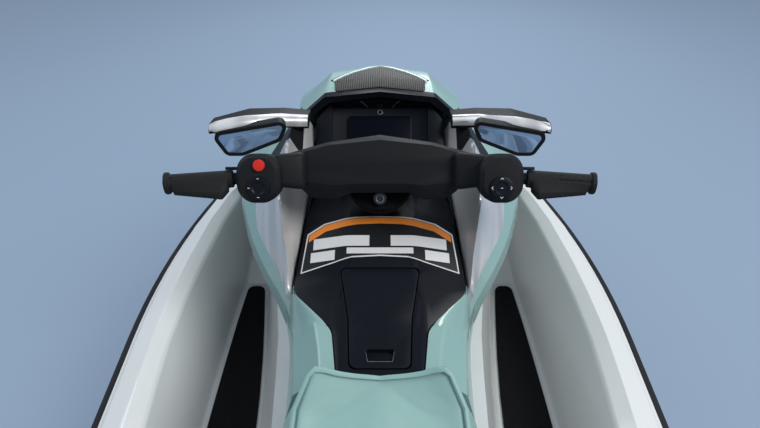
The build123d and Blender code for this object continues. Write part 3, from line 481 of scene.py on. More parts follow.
def cut_sheet(name, outline, height, cell=0.01):
    """A flat sheet with this outline from above, in small cells so that it can follow a curved panel."""
    turn = sum(a[0] * b[1] - b[0] * a[1] for a, b in zip(outline, outline[1:] + outline[:1]))
    if turn < 0:
        outline = outline[::-1]
    piece = piece_from(name, [(x, y, height) for x, y in outline], [range(len(outline))])
    edit(piece)
    for axis in (0, 1):
        low = min(p[axis] for p in outline)
        high = max(p[axis] for p in outline)
        for k in range(1, math.ceil((high - low) / cell)):
            place, normal = [0, 0, height], [0, 0, 0]
            place[axis] = low + k * cell
            normal[axis] = 1
            bpy.ops.mesh.select_all(action="SELECT")
            bpy.ops.mesh.bisect(plane_co=place, plane_no=normal)
    close()
    return piece


def walked(route, step):
    """Points about one step apart along a route, with the direction there."""
    points = []
    for a, b in zip(route, route[1:]):
        a, b = Vector(a), Vector(b)
        count = max(1, round((b - a).length / step))
        points += [(a.lerp(b, k / count), (b - a).normalized()) for k in range(count)]
    return points + [(Vector(route[-1]), points[-1][1])]


RIBBON_STEP = 0.006


def ribbon(name, route, width, height):
    """A flat band along a route seen from above."""
    corners = []
    for point, run in walked(route, RIBBON_STEP):
        side = Vector((run.y, -run.x))
        for share in (-1, 0, 1):
            spot = point + side * (width / 2) * share
            corners.append((spot.x, spot.y, height))
    return piece_from(name, corners, grid_faces(len(corners) // 3, 3))


def laid_on(piece, target, thick, lift=0.0):
    """Drops a flat piece on to a panel from above and gives it its thickness."""
    shape(piece, "SHRINKWRAP", wrap_method="PROJECT", use_project_z=True, use_project_x=False,
          use_project_y=False, use_negative_direction=True, use_positive_direction=False,
          target=target, offset=lift)
    shape(piece, "SOLIDIFY", thickness=thick, offset=1)
    return piece


def joined(pieces, name):
    only(*pieces)
    bpy.ops.object.join()
    pieces[0].name = name
    return pieces[0]


def tube(name, points, radius, closed=False):
    """A thin round cord through these points, made a mesh."""
    data = bpy.data.curves.new(name, "CURVE")
    data.dimensions = "3D"
    line = data.splines.new("POLY")
    line.points.add(len(points) - 1)
    for point, place in zip(line.points, points):
        point.co = (*place, 1)
    line.use_cyclic_u = closed
    data.bevel_depth = radius
    data.bevel_resolution = 2
    data.use_fill_caps = True
    piece = linked(name, data)
    only(piece)
    bpy.ops.object.convert(target="MESH")
    return piece


def turned_to(facing):
    return Vector(facing).to_track_quat("Z", "Y").to_euler()


def round_button(name, place, facing, radius, height, dish=0.0, rim=0.3, sides=40):
    """A round button: a short drum with a bevelled rim and a dished or raised cap."""
    out = Vector(facing).normalized()
    bpy.ops.object.select_all(action="DESELECT")
    bpy.ops.mesh.primitive_cylinder_add(vertices=sides, radius=radius, depth=height,
                                        location=Vector(place) + out * height / 2, rotation=turned_to(out))
    piece = bpy.context.object
    piece.name = name
    top = max(piece.data.polygons, key=lambda face: face.center.z)
    for face in piece.data.polygons:
        face.select = face == top
    bpy.ops.object.mode_set(mode="EDIT")
    bpy.ops.mesh.select_mode(type="FACE")
    bpy.ops.mesh.inset(thickness=radius * rim, depth=0)
    bpy.ops.mesh.inset(thickness=radius * 0.12, depth=dish)
    close()
    only(piece)
    bpy.ops.object.transform_apply(location=True, rotation=True, scale=True)
    soften_edges(piece, radius * 0.08, 2, 35)
    return piece


# Craft panels

for node, finish in NODE_FINISH.items():
    paint(NODES[node], finish)

for node in ("hull", "deck"):
    shape(dressed(node), "WEIGHTED_NORMAL", keep_sharp=True)
for node in ("console", "console_lid", "gauge_housing", "gauge_screen", "foot_mat_starboard",
             "foot_mat_port", "boarding_mat", "reverse_bucket", "ride_plate", "intake_grate", "sponsons",
             "bow_eye", "tow_eye", "stern_eyes", "step_brackets", "engine"):
    dressed(node)
dressed("bar_pad", 0.004, 25, 3)
for node in ("rub_rail", "steering_column"):
    dressed(node, 0.005, 40, 3)
for node in ("pump_housing", "venturi", "steering_nozzle", "grab_rail", "boarding_step", "impeller",
             "handlebar"):
    dressed(node, 0.0012, 40)

panels = {}
for node in ("fairing_starboard", "fairing_port", "nose_cowl", "hood"):
    panels[node] = dressed(node, 0.003, 48, 3)
for node in ("knee_blade_starboard", "knee_blade_port"):
    panels[node] = dressed(node, 0.0022, 24, 3)
dressed("hood_panel", 0.0015)

# Fairing's margin beside the console: its line from rear to front, and the height it starts at
MARGIN_LINE = ((0.182, 0.388), (0.163, 0.640))
MARGIN_LOW = 0.5
# Where the mirror's stalk starts on a knee blade
STALK_X, STALK_Y = 0.174, 0.662


def split(panel, place, normal):
    """Cuts a panel's faces along a plane and keeps both sides."""
    edit(panel)
    bpy.ops.mesh.bisect(plane_co=place, plane_no=normal)
    close()


def black_inside(panel, side):
    """Makes the fairing's narrow inner margin beside the console black."""
    rear, front = [Vector((side * x, y, 0)) for x, y in MARGIN_LINE]
    normal = Vector((front.y - rear.y, rear.x - front.x, 0)) * side
    split(panel, rear, normal)
    split(panel, rear, (0, 1, 0))
    panel.data.materials.append(black_satin.material)
    for face in panel.data.polygons:
        inside = (face.center - rear).dot(normal) < 0
        if inside and face.center.y > rear.y and face.center.z > MARGIN_LOW:
            face.material_index = 1


def black_stalk(panel, side):
    """Makes the top of a knee blade black where the mirror's stalk stands on it."""
    split(panel, (side * STALK_X, 0, 0), (1, 0, 0))
    split(panel, (0, STALK_Y, 0), (0, 1, 0))
    panel.data.materials.append(black_grain.material)
    for face in panel.data.polygons:
        if abs(face.center.x) > STALK_X and face.center.y > STALK_Y:
            face.material_index = 1


# Line of the console's rear outer corner, with the way out of it
SLANT_OUT = (0.69, -0.724)
SHOULDER_LINE = [((0.1722, 0.400), (1.0, 0.0)), ((0.1712, 0.3875), (0.92, -0.39))]
SHOULDER_LINE += [(place, SLANT_OUT) for place in (
    (0.165, 0.3765), (0.157, 0.369), (0.140, 0.353), (0.124, 0.337), (0.107, 0.321), (0.096, 0.3105))]
# Lip: reaches to try, its greatest height over the panel, and how much it has fallen at shares of its reach
LIP_REACHES = (0.034, 0.028, 0.022, 0.016, 0.010, 0.005)
LIP_HEIGHT = 0.1
LIP_PROFILE = ((0.0, 0.0), (0.12, 0.04), (0.45, 0.36), (1.0, 1.0))
# How far inside its edge the console's height is read, how far the lip's top stays below that height,
# how deep its foot sinks into the panel, and its gap beside the console
LIP_INSET = 0.005
LIP_BELOW = 0.0015
LIP_SUNK = 0.001
LIP_GAP = 0.0005
# Height from which rays look down on the craft
RAY_HEIGHT = 1.3


def surface_of(node):
    """A CAD node's surface, ready to be hit by rays."""
    mesh = NODES[node].data
    corners = [vertex.co.copy() for vertex in mesh.vertices]
    return BVHTree.FromPolygons(corners, [tuple(face.vertices) for face in mesh.polygons])


def height_at(surface, x, y):
    """Height of a surface's top at a place, or None beside it."""
    spot = surface.ray_cast(Vector((x, y, RAY_HEIGHT)), Vector((0, 0, -1)))[0]
    return spot.z if spot else None


def shoulder(side, label):
    """The fairing's raised lip that runs up to the console's rear outer corner."""
    corners = []
    console_top, panel_top = surface_of("console"), surface_of("fairing_" + label)
    for (x, y), (out_x, out_y) in SHOULDER_LINE:
        top = height_at(console_top, side * (x - out_x * LIP_INSET), y - out_y * LIP_INSET) - LIP_BELOW
        reach, foot = next((o, z) for o in LIP_REACHES
                           if (z := height_at(panel_top, side * (x + out_x * o), y + out_y * o))
                           and z > top - LIP_HEIGHT)
        if (x, y) == SHOULDER_LINE[-1][0]:
            top = foot + LIP_GAP
        for share, fall in LIP_PROFILE:
            out = LIP_GAP + reach * share
            corners.append((side * (x + out_x * out), y + out_y * out, top + (foot - LIP_SUNK - top) * fall))
    piece = piece_from("fairing_lip_" + label, corners, grid_faces(len(SHOULDER_LINE), len(LIP_PROFILE)))
    face_out(piece)
    if sum(face.normal.z for face in piece.data.polygons) < 0:
        edit(piece)
        bpy.ops.mesh.flip_normals()
        close()
    shape(piece, "SUBSURF", levels=2, render_levels=2)
    shape(piece, "SOLIDIFY", thickness=0.002, offset=-1)
    put(piece, mint_coat, "craft", angle=60)


for side, label in SIDES:
    black_inside(panels["fairing_" + label], side)
    black_stalk(panels["knee_blade_" + label], side)
    shoulder(side, label)
for panel in panels.values():
    shape(panel, "WEIGHTED_NORMAL", keep_sharp=True)

# Pods: how much slimmer they are than the solids, more so towards the bottom, and a small shift
POD_SLIM = 0.93
POD_TAPER = 0.22
POD_SHIFT = Vector((0.003, 0.0, -0.005))
for side, label in SIDES:
    pod = dressed("switch_pod_" + label, 0.004, 25, 4)
    low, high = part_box("switch_pod_" + label)
    middle = (low + high) / 2
    for vertex in pod.data.vertices:
        below = max(0.0, (middle.z - vertex.co.z) / (middle.z - low.z))
        slim = POD_SLIM - POD_TAPER * below * below
        vertex.co.x = middle.x + (vertex.co.x - middle.x) * slim - side * POD_SHIFT.x
        vertex.co.z += POD_SHIFT.z


# Seats

SEAT_VOXEL = 0.007
START_IN = 0.003
FOAM_PRESSURE = 4
FOAM_STEPS = 20
SWELL_CAP = 0.012
# How much of a pad is held while it swells: up from its base, back from its nose, beside its seams
HELD_BASE = 0.05
HELD_NOSE = 0.014
HELD_SEAM = 0.009
# Seams lie at least this high over the base, and are pressed in this deep and half this wide
SEAM_RISE = 0.06
SEAM_DEEP = 0.0045
# Seam at the top edge of each seat: y, half width
FRONT_SEAM = [(0.212, 0.110), (0.146, 0.140), (0.04, 0.148), (-0.11, 0.146), (-0.29, 0.140), (-0.385, 0.130)]
REAR_SEAM = [(-0.395, 0.130), (-0.64, 0.138), (-0.93, 0.126), (-1.052, 0.104)]


def seam_half(seam, y):
    """Half width of a seam at station y."""
    rows = sorted(seam)
    if y <= rows[0][0]:
        return rows[0][1]
    for (y0, x0), (y1, x1) in zip(rows, rows[1:]):
        if y <= y1:
            return x0 + (x1 - x0) * (y - y0) / (y1 - y0)
    return rows[-1][1]


def on_seam(x, y, seam, cross_seams):
    """Whether a place on a pad's top is close to one of its sewn lines."""
    inside = abs(x) < seam_half(seam, y)
    return (abs(abs(x) - seam_half(seam, y)) < HELD_SEAM
            or (inside and any(abs(y - cross_y) < HELD_SEAM for cross_y in cross_seams)))


def stuffed(node, seam, cross_seams=()):
    """A seat pad swollen like foam under its cover, held down along its base, its nose and its seams."""
    low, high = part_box(node)
    piece = remeshed(node, node + "_pad", SEAT_VOXEL, 2)
    shape(piece, "DISPLACE", strength=-START_IN, mid_level=0.0)
    start = [v.co.copy() for v in piece.data.vertices]
    base = piece.vertex_groups.new(name="base")
    held = [v.index for v in piece.data.vertices
            if v.co.z < low.z + HELD_BASE or v.co.y > high.y - HELD_NOSE
            or (v.co.z > low.z + SEAM_RISE and on_seam(v.co.x, v.co.y, seam, cross_seams))]
    base.add(held, 1.0, "REPLACE")
    cloth = piece.modifiers.new("foam", "CLOTH")
    cloth.settings.use_pressure = True
    cloth.settings.uniform_pressure_force = FOAM_PRESSURE
    cloth.settings.effector_weights.gravity = 0
    cloth.settings.vertex_group_mass = "base"
    cloth.point_cache.frame_end = FOAM_STEPS
    for step in range(1, FOAM_STEPS + 1):
        bpy.context.scene.frame_set(step)
    only(piece)
    bpy.ops.object.modifier_apply(modifier="foam")
    bpy.context.scene.frame_set(1)
    for vertex, was in zip(piece.data.vertices, start):
        move = vertex.co - was
        if move.length > SWELL_CAP:
            vertex.co = was + move * (SWELL_CAP / move.length)
    shape(piece, "SMOOTH", factor=0.4, iterations=2)
    for vertex in piece.data.vertices:
        vertex.co.y = min(max(vertex.co.y, low.y + 0.001), high.y - 0.001)
        vertex.co.z = max(vertex.co.z, low.z)
    shape(piece, "SUBSURF", levels=1, render_levels=1)
    press_seams(piece, seam, cross_seams, low)
    put(piece, seat_skin, body_of(node), [node], 60)
    return piece


def press_seams(piece, seam, cross_seams, low):
    """Presses the sewn channels into a pad, along its top edges and across it."""
    normals = [vertex.normal.copy() for vertex in piece.data.vertices]
    for vertex, out in zip(piece.data.vertices, normals):
        x, y, z = vertex.co
        if z < low.z + SEAM_RISE:
            continue
        beside = (abs(x) - seam_half(seam, y)) / SEAM_DEEP
        deep = math.exp(-beside * beside)
        for cross_y in cross_seams:
            across = (y - cross_y) / SEAM_DEEP
            if abs(x) < seam_half(seam, y):
                deep = max(deep, math.exp(-across * across))
        vertex.co -= out * SEAM_DEEP * deep


PIPING = both_ways([(0.130, -0.380), (0.140, -0.29), (0.146, -0.11), (0.148, 0.04), (0.140, 0.146),
                    (0.118, 0.188), (0.108, 0.1955), (0.092, 0.198)])
# Nose of the front seat: where its rise starts, its run to the full rise, the lowest height that rises
NOSE_START = -0.02
NOSE_RUN = 0.14
NOSE_LOW = 0.6
# Rise and half width of each corner, and of the dip's floor
CORNER_RISE, CORNER_HALF = 0.013, 0.030
DIP_RISE, DIP_HALF = 0.004, 0.032


def raise_nose(piece):
    """Lifts the front seat's two front corners and rounds the dip between them."""
    for vertex in piece.data.vertices:
        x, y, z = vertex.co
        if z > NOSE_LOW:
            near = min(1.0, max(0.0, (y - NOSE_START) / NOSE_RUN))
            near *= near * (3 - 2 * near)
            corner, dip = (abs(x) - seam_half(FRONT_SEAM, y)) / CORNER_HALF, x / DIP_HALF
            vertex.co.z += near * (CORNER_RISE * math.exp(-corner * corner) + DIP_RISE * math.exp(-dip * dip))


# Heights from which thin pieces are dropped on to the seat, the console and the hood
OVER_SEAT, OVER_CONSOLE, OVER_HOOD = 1.0, 0.95, 1.1
front_pad = stuffed("seat_front", FRONT_SEAM)
raise_nose(front_pad)
stuffed("seat_rear", REAR_SEAM, (-0.56, -0.74, -0.92))
piping = laid_on(ribbon("seat_piping", PIPING, 0.007, OVER_SEAT), NODES["seat_front"], 0.0045)
raise_nose(piping)
soften_edges(piping, 0.0016, 3, 40)
put(piping, seat_skin, "craft", angle=60)


# Bars: pad, pods and grips

PAD_FACING = (0, -0.83, 0.557)
PAD_MIDDLE = Vector((0, 0.500, 0.898))
POD_CENTRE = Vector((0.220, 0.464, 0.905))
POD_FACE = 0.0255
MARK_LIFT = 0.0075
# Thumb dial on a pod: its middle across and up, its marks' distance from it, and their half length
DIAL_ACROSS, DIAL_UP = 0.002, -0.017
DIAL_MARK = 0.0165
DIAL_TICK = 0.002
ARROW_OUT = 0.018
ARROW_WING = 0.0026


def pod_face(side, across, up):
    """A point on the front face of a switch pod."""
    right, high, out = directions(PAD_FACING)
    centre = Vector((side * (POD_CENTRE.x - POD_SHIFT.x), POD_CENTRE.y, POD_CENTRE.z + POD_SHIFT.z))
    return centre + right * across + high * up + out * POD_FACE


def mark(name, strokes, radius):
    """Short pale strokes printed on a pod; each stroke is two (side, across, up) ends."""
    lift = Vector(PAD_FACING) * MARK_LIFT
    parts = [tube(name, [pod_face(*start) + lift, pod_face(*end) + lift], radius) for start, end in strokes]
    put(joined(parts, name), print_white, "bars")


stop_place = pod_face(-1, 0.004, 0.023)
put(round_button("stop_button", stop_place, PAD_FACING, 0.0090, 0.008, 0.001), button_red, "bars")
put(round_button("stop_button_seat", stop_place, PAD_FACING, 0.0115, 0.0035), black_gloss, "bars")
for side, label in SIDES[::-1]:
    knob = round_button("thumb_dial_" + label, pod_face(side, -side * DIAL_ACROSS, DIAL_UP), PAD_FACING,
                        0.0205, 0.0075, -0.0015, 0.42)
    put(knob, black_satin, "bars")
ticks = []
for a, b in ((0, DIAL_MARK), (-DIAL_MARK, 0), (0, -DIAL_MARK)):
    x, y = DIAL_ACROSS + a, DIAL_UP + b
    ticks.append(((-1, x - DIAL_TICK, y), (-1, x + DIAL_TICK, y)))
mark("dial_marks", ticks, 0.0007)
arrows = []
for a, b in ((0, 1), (0, -1), (1, 0), (-1, 0)):
    tip = (-DIAL_ACROSS + a * ARROW_OUT, DIAL_UP + b * ARROW_OUT)
    for turn in (1, -1):
        wing = (tip[0] + (b * turn - a) * ARROW_WING, tip[1] + (a * turn - b) * ARROW_WING)
        arrows.append(((1, *tip), (1, *wing)))
arrows.append(((1, -DIAL_ACROSS - DIAL_TICK, DIAL_UP), (1, -DIAL_ACROSS + DIAL_TICK, DIAL_UP)))
mark("dial_arrows", arrows, 0.0006)


# Sleeve ends: across, low and high up the pad's plane, back and front out of it
SLEEVE_ENDS = [(0.138, -0.042, 0.030, -0.062, 0.019), (0.198, -0.034, 0.024, -0.030, 0.036)]


def make_sleeve(side, label):
    """The moulded cover over the bar between the pad and a switch pod."""
    _, up, out = directions(PAD_FACING)
    corners = []
    for x, low, high, back, front in SLEEVE_ENDS:
        for rise, depth in ((low, back), (high, back), (high, front), (low, front)):
            corners.append(Vector((side * x, PAD_MIDDLE.y, PAD_MIDDLE.z)) + up * rise + out * depth)
    faces = [(0, 1, 2, 3), (7, 6, 5, 4)] + [(k, k + 4, (k + 1) % 4 + 4, (k + 1) % 4) for k in range(4)]
    piece = piece_from("bar_sleeve_" + label, corners, faces)
    face_out(piece)
    soften_edges(piece, 0.012, 4, 30)
    put(piece, black_grain, "bars", angle=50)


for side, label in SIDES[::-1]:
    make_sleeve(side, label)


# Steering boot under the pad: distance up the steering axis, radius
STEER_POINT = Vector((0, 0.540, 0.860))
STEER_TILT = math.radians(27)
STEER_UP = Vector((0, -math.sin(STEER_TILT), math.cos(STEER_TILT)))
BOOT_ROWS = [(-0.096, 0.042), (-0.094, 0.047), (-0.084, 0.050), (-0.080, 0.056), (-0.070, 0.058),
             (-0.066, 0.064), (-0.052, 0.067), (-0.030, 0.068)]


def turned_shell(name, rows, foot, axis, sides=48):
    """A closed shell turned about an axis from rows of distance along it and radius."""
    side_way = axis.orthogonal().normalized()
    other_way = axis.cross(side_way)
    corners, faces = [], []
    for along, radius in rows:
        for k in range(sides):
            turn = 2 * math.pi * k / sides
            spoke = side_way * math.cos(turn) + other_way * math.sin(turn)
            corners.append(foot + axis * along + spoke * radius)
    for r in range(len(rows) - 1):
        for k in range(sides):
            a, b = r * sides + k, r * sides + (k + 1) % sides
            faces.append((a, b, b + sides, a + sides))
    faces += [list(range(sides))[::-1], [(len(rows) - 1) * sides + k for k in range(sides)]]
    piece = piece_from(name, corners, faces)
    face_out(piece)
    return piece


put(turned_shell("steering_boot", BOOT_ROWS, STEER_POINT, STEER_UP), seal_black_and_painted_shadow, "bars", angle=40)


def ring(name, place, facing, radius, body):
    """A small round ring standing on a surface."""
    bpy.ops.object.select_all(action="DESELECT")
    bpy.ops.mesh.primitive_torus_add(major_radius=radius, minor_radius=0.0012, major_segments=32,
                                     minor_segments=10, location=place, rotation=turned_to(facing))
    piece = bpy.context.object
    piece.name = name
    put(piece, worn_grey, body, angle=60)


ring("lanyard_ring", (0, 0.497, 0.826), PAD_FACING, 0.0075, "bars")
lanyard_socket = round_button("lanyard_socket", (0, 0.502, 0.823), PAD_FACING, 0.013, 0.004, -0.001)
put(lanyard_socket, black_gloss, "bars")


# Grip: its radius, its middle line on the starboard side from the pod out, and its ribs
GRIP_RADIUS = 0.016
GRIP_LINE = (Vector((0.268, 0.4665, 0.8968)), Vector((0.386, 0.4471, 0.8998)))
GRIP_VOXEL = 0.0018
RIB_DEEP = 0.0003
RIB_SPACE = 0.0055


def make_grip(side, label):
    """A soft grip with fine slanted ribs, and a rest for the palm that deepens towards the pod."""
    node = "grip_" + label
    piece = remeshed(node, node + "_rubber", GRIP_VOXEL, 8)
    start, end = GRIP_LINE
    normals = [vertex.normal.copy() for vertex in piece.data.vertices]
    for vertex, out in zip(piece.data.vertices, normals):
        share = (abs(vertex.co.x) - start.x) / (end.x - start.x)
        core = start.lerp(end, share)
        core.x *= side
        reach = vertex.co - core
        beyond = reach.length - GRIP_RADIUS - 0.001
        if beyond > 0 and share < 0.9:
            depth = min(1.0, max(0.0, share / 0.14)) * (1.1 - 0.95 * share)
            vertex.co = core + reach.normalized() * (reach.length - beyond * (1 - depth))
        if 0.12 < share < 0.88:
            slant = abs(vertex.co.x) + 0.5 * vertex.co.z
            vertex.co += out * RIB_DEEP * math.sin(2 * math.pi * slant / RIB_SPACE)
    put(piece, grip_rubber, "bars", [node], 60)


for side, label in SIDES[::-1]:
    make_grip(side, label)


# Mirrors

# Mirror wing stations: x, rear y, low z, high z, how far the silver runs forward over the top
WING_ROWS = [
    (0.162, 0.706, 0.8700, 0.886, 0.016), (0.190, 0.691, 0.8790, 0.895, 0.017),
    (0.215, 0.676, 0.8880, 0.904, 0.018), (0.250, 0.658, 0.8950, 0.911, 0.019),
    (0.285, 0.640, 0.9020, 0.918, 0.020), (0.320, 0.631, 0.9020, 0.916, 0.020),
    (0.342, 0.6240, 0.9040, 0.9145, 0.017), (0.352, 0.6220, 0.9085, 0.9125, 0.008)]
WING_PROUD = 0.0016


def silver_wing(side, label):
    """The silver lacquered shell over the rear and upper side of a mirror's arm."""
    corners = []
    for x, rear, low, high, reach in WING_ROWS:
        back, top = rear - WING_PROUD, high + WING_PROUD
        section = ((rear + 0.004, low - WING_PROUD), (back, low), (back, high - 0.008),
                   (rear + 0.005, high - 0.003 + WING_PROUD), (rear + 0.014, top),
                   (rear + reach * 0.75, top), (rear + reach, high))
        corners += [(side * x, y, z) for y, z in section]
    faces = [(a, a + 7, a + 8, a + 1) for k in range(len(WING_ROWS) - 1) for a in range(7 * k, 7 * k + 6)]
    piece = piece_from("mirror_wing_" + label, corners, faces)
    face_out(piece)
    shape(piece, "SOLIDIFY", thickness=0.002, offset=-side)
    put(piece, silver, "craft", angle=50)


for side, label in SIDES:
    dressed("mirror_" + label, 0.003, 30, 3)
    dressed("mirror_glass_" + label, 0.0008)
    silver_wing(side, label)


# Console: the blank plate, the grooves and the lid's pull

console = NODES["console"]
PLATE_TOP = both_ways([(0.153, 0.504), (0.118, 0.524), (0.05, 0.535), (0.0, 0.537)])
PLATE_LOW = both_ways([(0.161, 0.420), (0.092, 0.433), (0.058, 0.441), (0.0, 0.444)])[::-1]
BAND_HEIGHT = 0.015
BLANK_FIELDS = [((-0.138, 0.466), (-0.022, 0.490)), ((0.022, 0.466), (0.138, 0.490)),
                ((-0.068, 0.449), (0.068, 0.462)),
                ((-0.142, 0.439), (-0.092, 0.460)), ((0.092, 0.439), (0.142, 0.460))]


def shrunk(outline, margin):
    """An outline pulled in towards its middle by about a margin."""
    middle = sum((Vector(p) for p in outline), Vector((0, 0))) / len(outline)
    pulled = []
    for point in outline:
        gap = Vector(point) - middle
        pulled.append(tuple(middle + Vector((gap.x - math.copysign(min(margin, abs(gap.x)), gap.x),
                                             gap.y - math.copysign(min(margin, abs(gap.y)), gap.y)))))
    return pulled


border = cut_sheet("plate_border", PLATE_TOP + PLATE_LOW, OVER_CONSOLE)
put(laid_on(border, console, 0.0006), print_white, "craft")
field = cut_sheet("plate_field", shrunk(PLATE_TOP + PLATE_LOW, 0.0028), OVER_CONSOLE)
put(laid_on(field, console, 0.0009), print_dark, "craft")
band_top = shrunk(PLATE_TOP + PLATE_LOW, 0.004)[:len(PLATE_TOP)]
band_low = [(x, y - BAND_HEIGHT) for x, y in reversed(band_top)]
band = cut_sheet("plate_band", band_top + band_low, OVER_CONSOLE, 0.008)
put(laid_on(band, console, 0.0012), print_orange, "craft")
for k, ((x0, y0), (x1, y1)) in enumerate(BLANK_FIELDS):
    sheet = cut_sheet(f"plate_blank_{k}", [(x0, y0), (x1, y0), (x1, y1), (x0, y1)], OVER_CONSOLE)
    put(laid_on(sheet, console, 0.0012), print_white, "craft")


GROOVE = ((0.060, 0.441), (0.068, 0.40), (0.079, 0.36))
for side, label in SIDES:
    line = ribbon("console_groove_" + label, [(side * x, y) for x, y in GROOVE], 0.0022, OVER_CONSOLE)
    put(laid_on(line, console, 0.0005), seal_black_and_painted_shadow, "craft")
# Rim round the lid's pull, which rises forward with the lid's top
PULL_REAR, PULL_FRONT = 0.2385, 0.2625
PULL_RISE = 0.13
pull_rim = [Vector((x, y, 0.6585 + (y - PULL_REAR) * PULL_RISE)) for x, y in (
    (-0.0225, PULL_REAR), (0.0225, PULL_REAR), (0.0272, PULL_FRONT), (-0.0272, PULL_FRONT))]
put(tube("lid_pull_rim", pull_rim, 0.0008, closed=True), worn_grey, "lid_body")


# Hood latch and ring over the display

LATCH_FACING = (0, -0.925, -0.381)
LATCH_MIDDLE = (0, 0.7925, 0.879)
recess = plate("latch_recess", [(-0.030, -0.011), (0.030, -0.011), (0.044, 0.011), (-0.044, 0.011)],
               LATCH_MIDDLE, LATCH_FACING, 0.002, 0.0006)
put(recess, black_gloss, "craft")
across, up, out = directions(LATCH_FACING)
for side, label in SIDES:
    ends = [Vector(LATCH_MIDDLE) + across * side * a + up * b + out * 0.0025
            for a, b in ((0.030, -0.011), (0.038, 0.003), (0.047, 0.011))]
    put(tube("latch_edge_" + label, ends, 0.0009), worn_grey, "craft")
ring("display_ring", (0, 0.7915, 0.8565), (0, -0.67, 0.74), 0.0055, "craft")


# Hood trims

HOOD_RIM_FRONT = 0.7855
ARC_POINTS = both_ways([(0.109, 0.826), (0.090, 0.846), (0.062, 0.864), (0.03, 0.877), (0.0, 0.8825)])
arc_line = ribbon("hood_arc", ARC_POINTS, 0.006, OVER_HOOD)
put(laid_on(arc_line, panels["hood"], 0.003, 0.0015), pale_trim, "hood_body")
# Painted shadow: a thin black band laid on the hood just behind the arc line, for the shade in the gap there.
arc_shadow = ribbon("hood_arc_gap_painted_shadow", [(x * 1.05, y + 0.0065) for x, y in ARC_POINTS], 0.005, OVER_HOOD)
put(laid_on(arc_shadow, panels["hood"], 0.0012, 0.0004), seal_black_and_painted_shadow, "hood_body")


def hood_rim():
    """Black trim wrapped round the hood's rear edge."""
    rim = merged_copy("hood", "hood_rim")
    edit(rim)
    bpy.ops.mesh.bisect(plane_co=(0, HOOD_RIM_FRONT, 0), plane_no=(0, 1, 0), clear_outer=True, use_fill=True)
    close()
    shape(rim, "DISPLACE", strength=0.0012, mid_level=0.0)
    put(rim, black_satin, "hood_body", angle=35)


hood_rim()


# Lever tabs, bolts and plugs

for side, label in SIDES:
    tab = plate("lever_tab_" + label, [(-0.018, -0.003), (0.018, -0.003), (0.018, 0.003), (-0.018, 0.003)],
                (side * 0.262, 0.474, 0.914), PAD_FACING, 0.007, 0.0015)
    put(tab, black_satin, "bars")


def standing(place, facing):
    """The place and turn of a head that stands here and faces this way."""
    return Matrix.LocRotScale(Vector(place), turned_to(facing), None)


def bolts(name, spots, radius, sides=6, finish=steel):
    """One set of bolt heads: the first is modelled, and a copy of it stands at each other place."""
    first = round_button(name, *spots[0], radius, radius * 0.7, radius * 0.15, 0.35, sides)
    heads = [first]
    for spot in spots[1:]:
        copy = linked(name, first.data.copy())
        copy.matrix_world = standing(*spot) @ standing(*spots[0]).inverted()
        heads.append(copy)
    put(joined(heads, name), finish, "craft")


def spots_at(facing, xs, ys, zs):
    """A spot for each place of a grid, all facing the same way."""
    return [((x, y, z), facing) for x in xs for y in ys for z in zs]


AHEAD, AFT, UP, DOWN = (0, 1, 0), (0, -1, 0), (0, 0, 1), (0, 0, -1)
# Venturi flange: bolt circle, its middle and the first bolt's angle
FLANGE_RADIUS, FLANGE_Y, FLANGE_Z = 0.094, -1.41, -0.11
FLANGE_START, FLANGE_TURN = 23, 45
flange_turns = [math.radians(a) for a in range(FLANGE_START, FLANGE_START + 360, FLANGE_TURN)]
bolts("venturi_bolts", [((FLANGE_RADIUS * math.cos(a), FLANGE_Y, FLANGE_Z + FLANGE_RADIUS * math.sin(a)), AFT)
                        for a in flange_turns], 0.0065)
# Ride plate: height of its underside at the middle, and its slope to either side
RIDE_LOW, RIDE_SLOPE = -0.240, 0.36
bolts("ride_plate_screws", [((side * x, y, RIDE_LOW + x * RIDE_SLOPE), (side * 0.34, 0, -0.94))
                            for side in (1, -1) for x in (0.045, 0.125) for y in (-1.6, -1.4, -1.2)],
      0.006, sides=20)
for name, facing, xs, ys, zs, radius in (
        ("step_bracket_screws", AFT, (0.19, -0.19), (-1.696,), (-0.006, 0.030), 0.0045),
        ("stern_eye_screws", AFT, (0.406, 0.434, -0.406, -0.434), (-1.696,), (0.077, 0.123), 0.004),
        ("bow_eye_screws", AHEAD, (-0.014, 0.014), (1.646,), (0.348, 0.396), 0.004),
        ("tow_eye_screws", UP, (-0.023, 0.023), (-1.204, -1.156), (0.264,), 0.005),
        ("grate_screws", DOWN, (-0.086, 0.086), (-1.137, -0.716), (-0.216,), 0.005),
        ("rail_screws", AFT, (-0.095, 0.095), (-1.08,), (0.468, 0.522), 0.006)):
    bolts(name, spots_at(facing, xs, ys, zs), radius)
bolts("drain_plugs", spots_at(AFT, (-0.26, 0.26), (-1.69,), (-0.085,)), 0.016, sides=32, finish=black_grain)


# Stage

EYE = (0.0, -0.27, 1.43)
LOOK_DOWN = 40
FOCAL_PX = 495
PICTURE_WIDTH = 760
SENSOR_WIDTH = 36
FLOOR_RADIUS = 60
# Backdrop: the colour it lights the craft with, and the colour it is seen in
SKY_LIGHT = (0.86, 0.92, 1.0)
SKY_SEEN = (0.50, 0.60, 0.72)
# Places that the lamps aim at
MID_CRAFT = (0, 0.2, 0.4)
FOREDECK = (0, 0.6, 0.5)


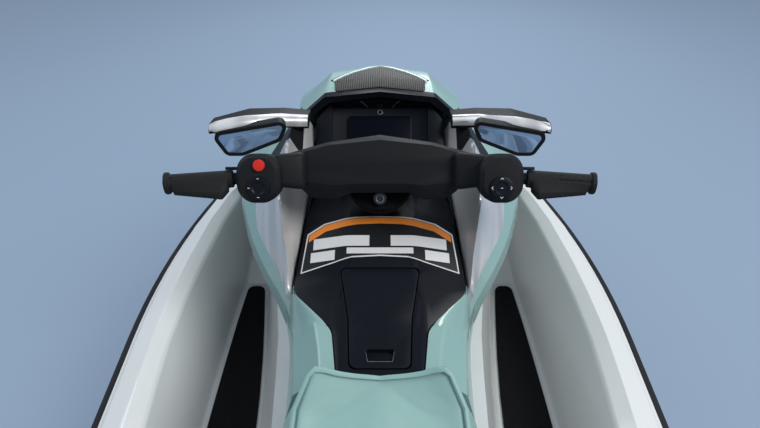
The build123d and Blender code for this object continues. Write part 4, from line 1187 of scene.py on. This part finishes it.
def make_camera():
    data = bpy.data.cameras.new("eye_camera")
    data.sensor_width = SENSOR_WIDTH
    data.lens = FOCAL_PX / PICTURE_WIDTH * SENSOR_WIDTH
    data.clip_start = 0.02
    camera = linked("eye_camera", data)
    camera.location = EYE
    camera.rotation_euler = (math.radians(90 - LOOK_DOWN), 0, 0)
    bpy.context.scene.camera = camera


def area_light(name, place, aim, size, power, color):
    data = bpy.data.lights.new(name, "AREA")
    data.shape = "DISK"
    data.size = size
    data.energy = power
    data.color = color
    lamp = linked(name, data)
    lamp.location = place
    lamp.rotation_euler = (Vector(aim) - Vector(place)).to_track_quat("-Z", "Y").to_euler()


def make_stage():
    """A slate-blue floor at the waterline under a pale blue backdrop."""
    bpy.ops.object.select_all(action="DESELECT")
    bpy.ops.mesh.primitive_circle_add(vertices=96, radius=FLOOR_RADIUS, fill_type="NGON")
    floor = bpy.context.object
    floor.name = "floor"
    floor_paint = plain("floor_paint", (0.16, 0.21, 0.28), 0.75)
    floor_paint.set("Emission Color", (0.09, 0.125, 0.175, 1))
    floor_paint.set("Emission Strength", 1.0)
    paint(floor, floor_paint)
    world = bpy.data.worlds.new("sky")
    world.use_nodes = True
    bpy.context.scene.world = world
    sky = Shading(world.node_tree)
    sky.tree.nodes.remove(sky.tree.nodes["Background"])
    soft, seen = (sky.node("ShaderNodeBackground", {}, {"Color": (*color, 1), "Strength": strength})
                  for color, strength in ((SKY_LIGHT, 0.5), (SKY_SEEN, 1.0)))
    by_eye, by_gloss, through = (sky.node("ShaderNodeLightPath", {}, {}, f"Is {kind} Ray")
                                 for kind in ("Camera", "Glossy", "Transmission"))
    seen_by = by_eye.math("MAXIMUM", by_gloss).math("MAXIMUM", through)
    sky.feed(sky.tree.nodes["World Output"].inputs["Surface"],
             sky.node("ShaderNodeMixShader", {}, [seen_by, soft, seen]))


make_camera()
make_stage()
area_light("key", (2.8, -0.9, 4.0), MID_CRAFT, 2.2, 160, (1.0, 0.98, 0.95))
area_light("fill", (-3.0, 1.2, 3.2), MID_CRAFT, 2.6, 45, (0.92, 0.96, 1.0))
area_light("back", (0.4, 4.2, 2.8), FOREDECK, 2.4, 70, (0.95, 0.98, 1.0))
bpy.context.scene.view_settings.view_transform = "Standard"
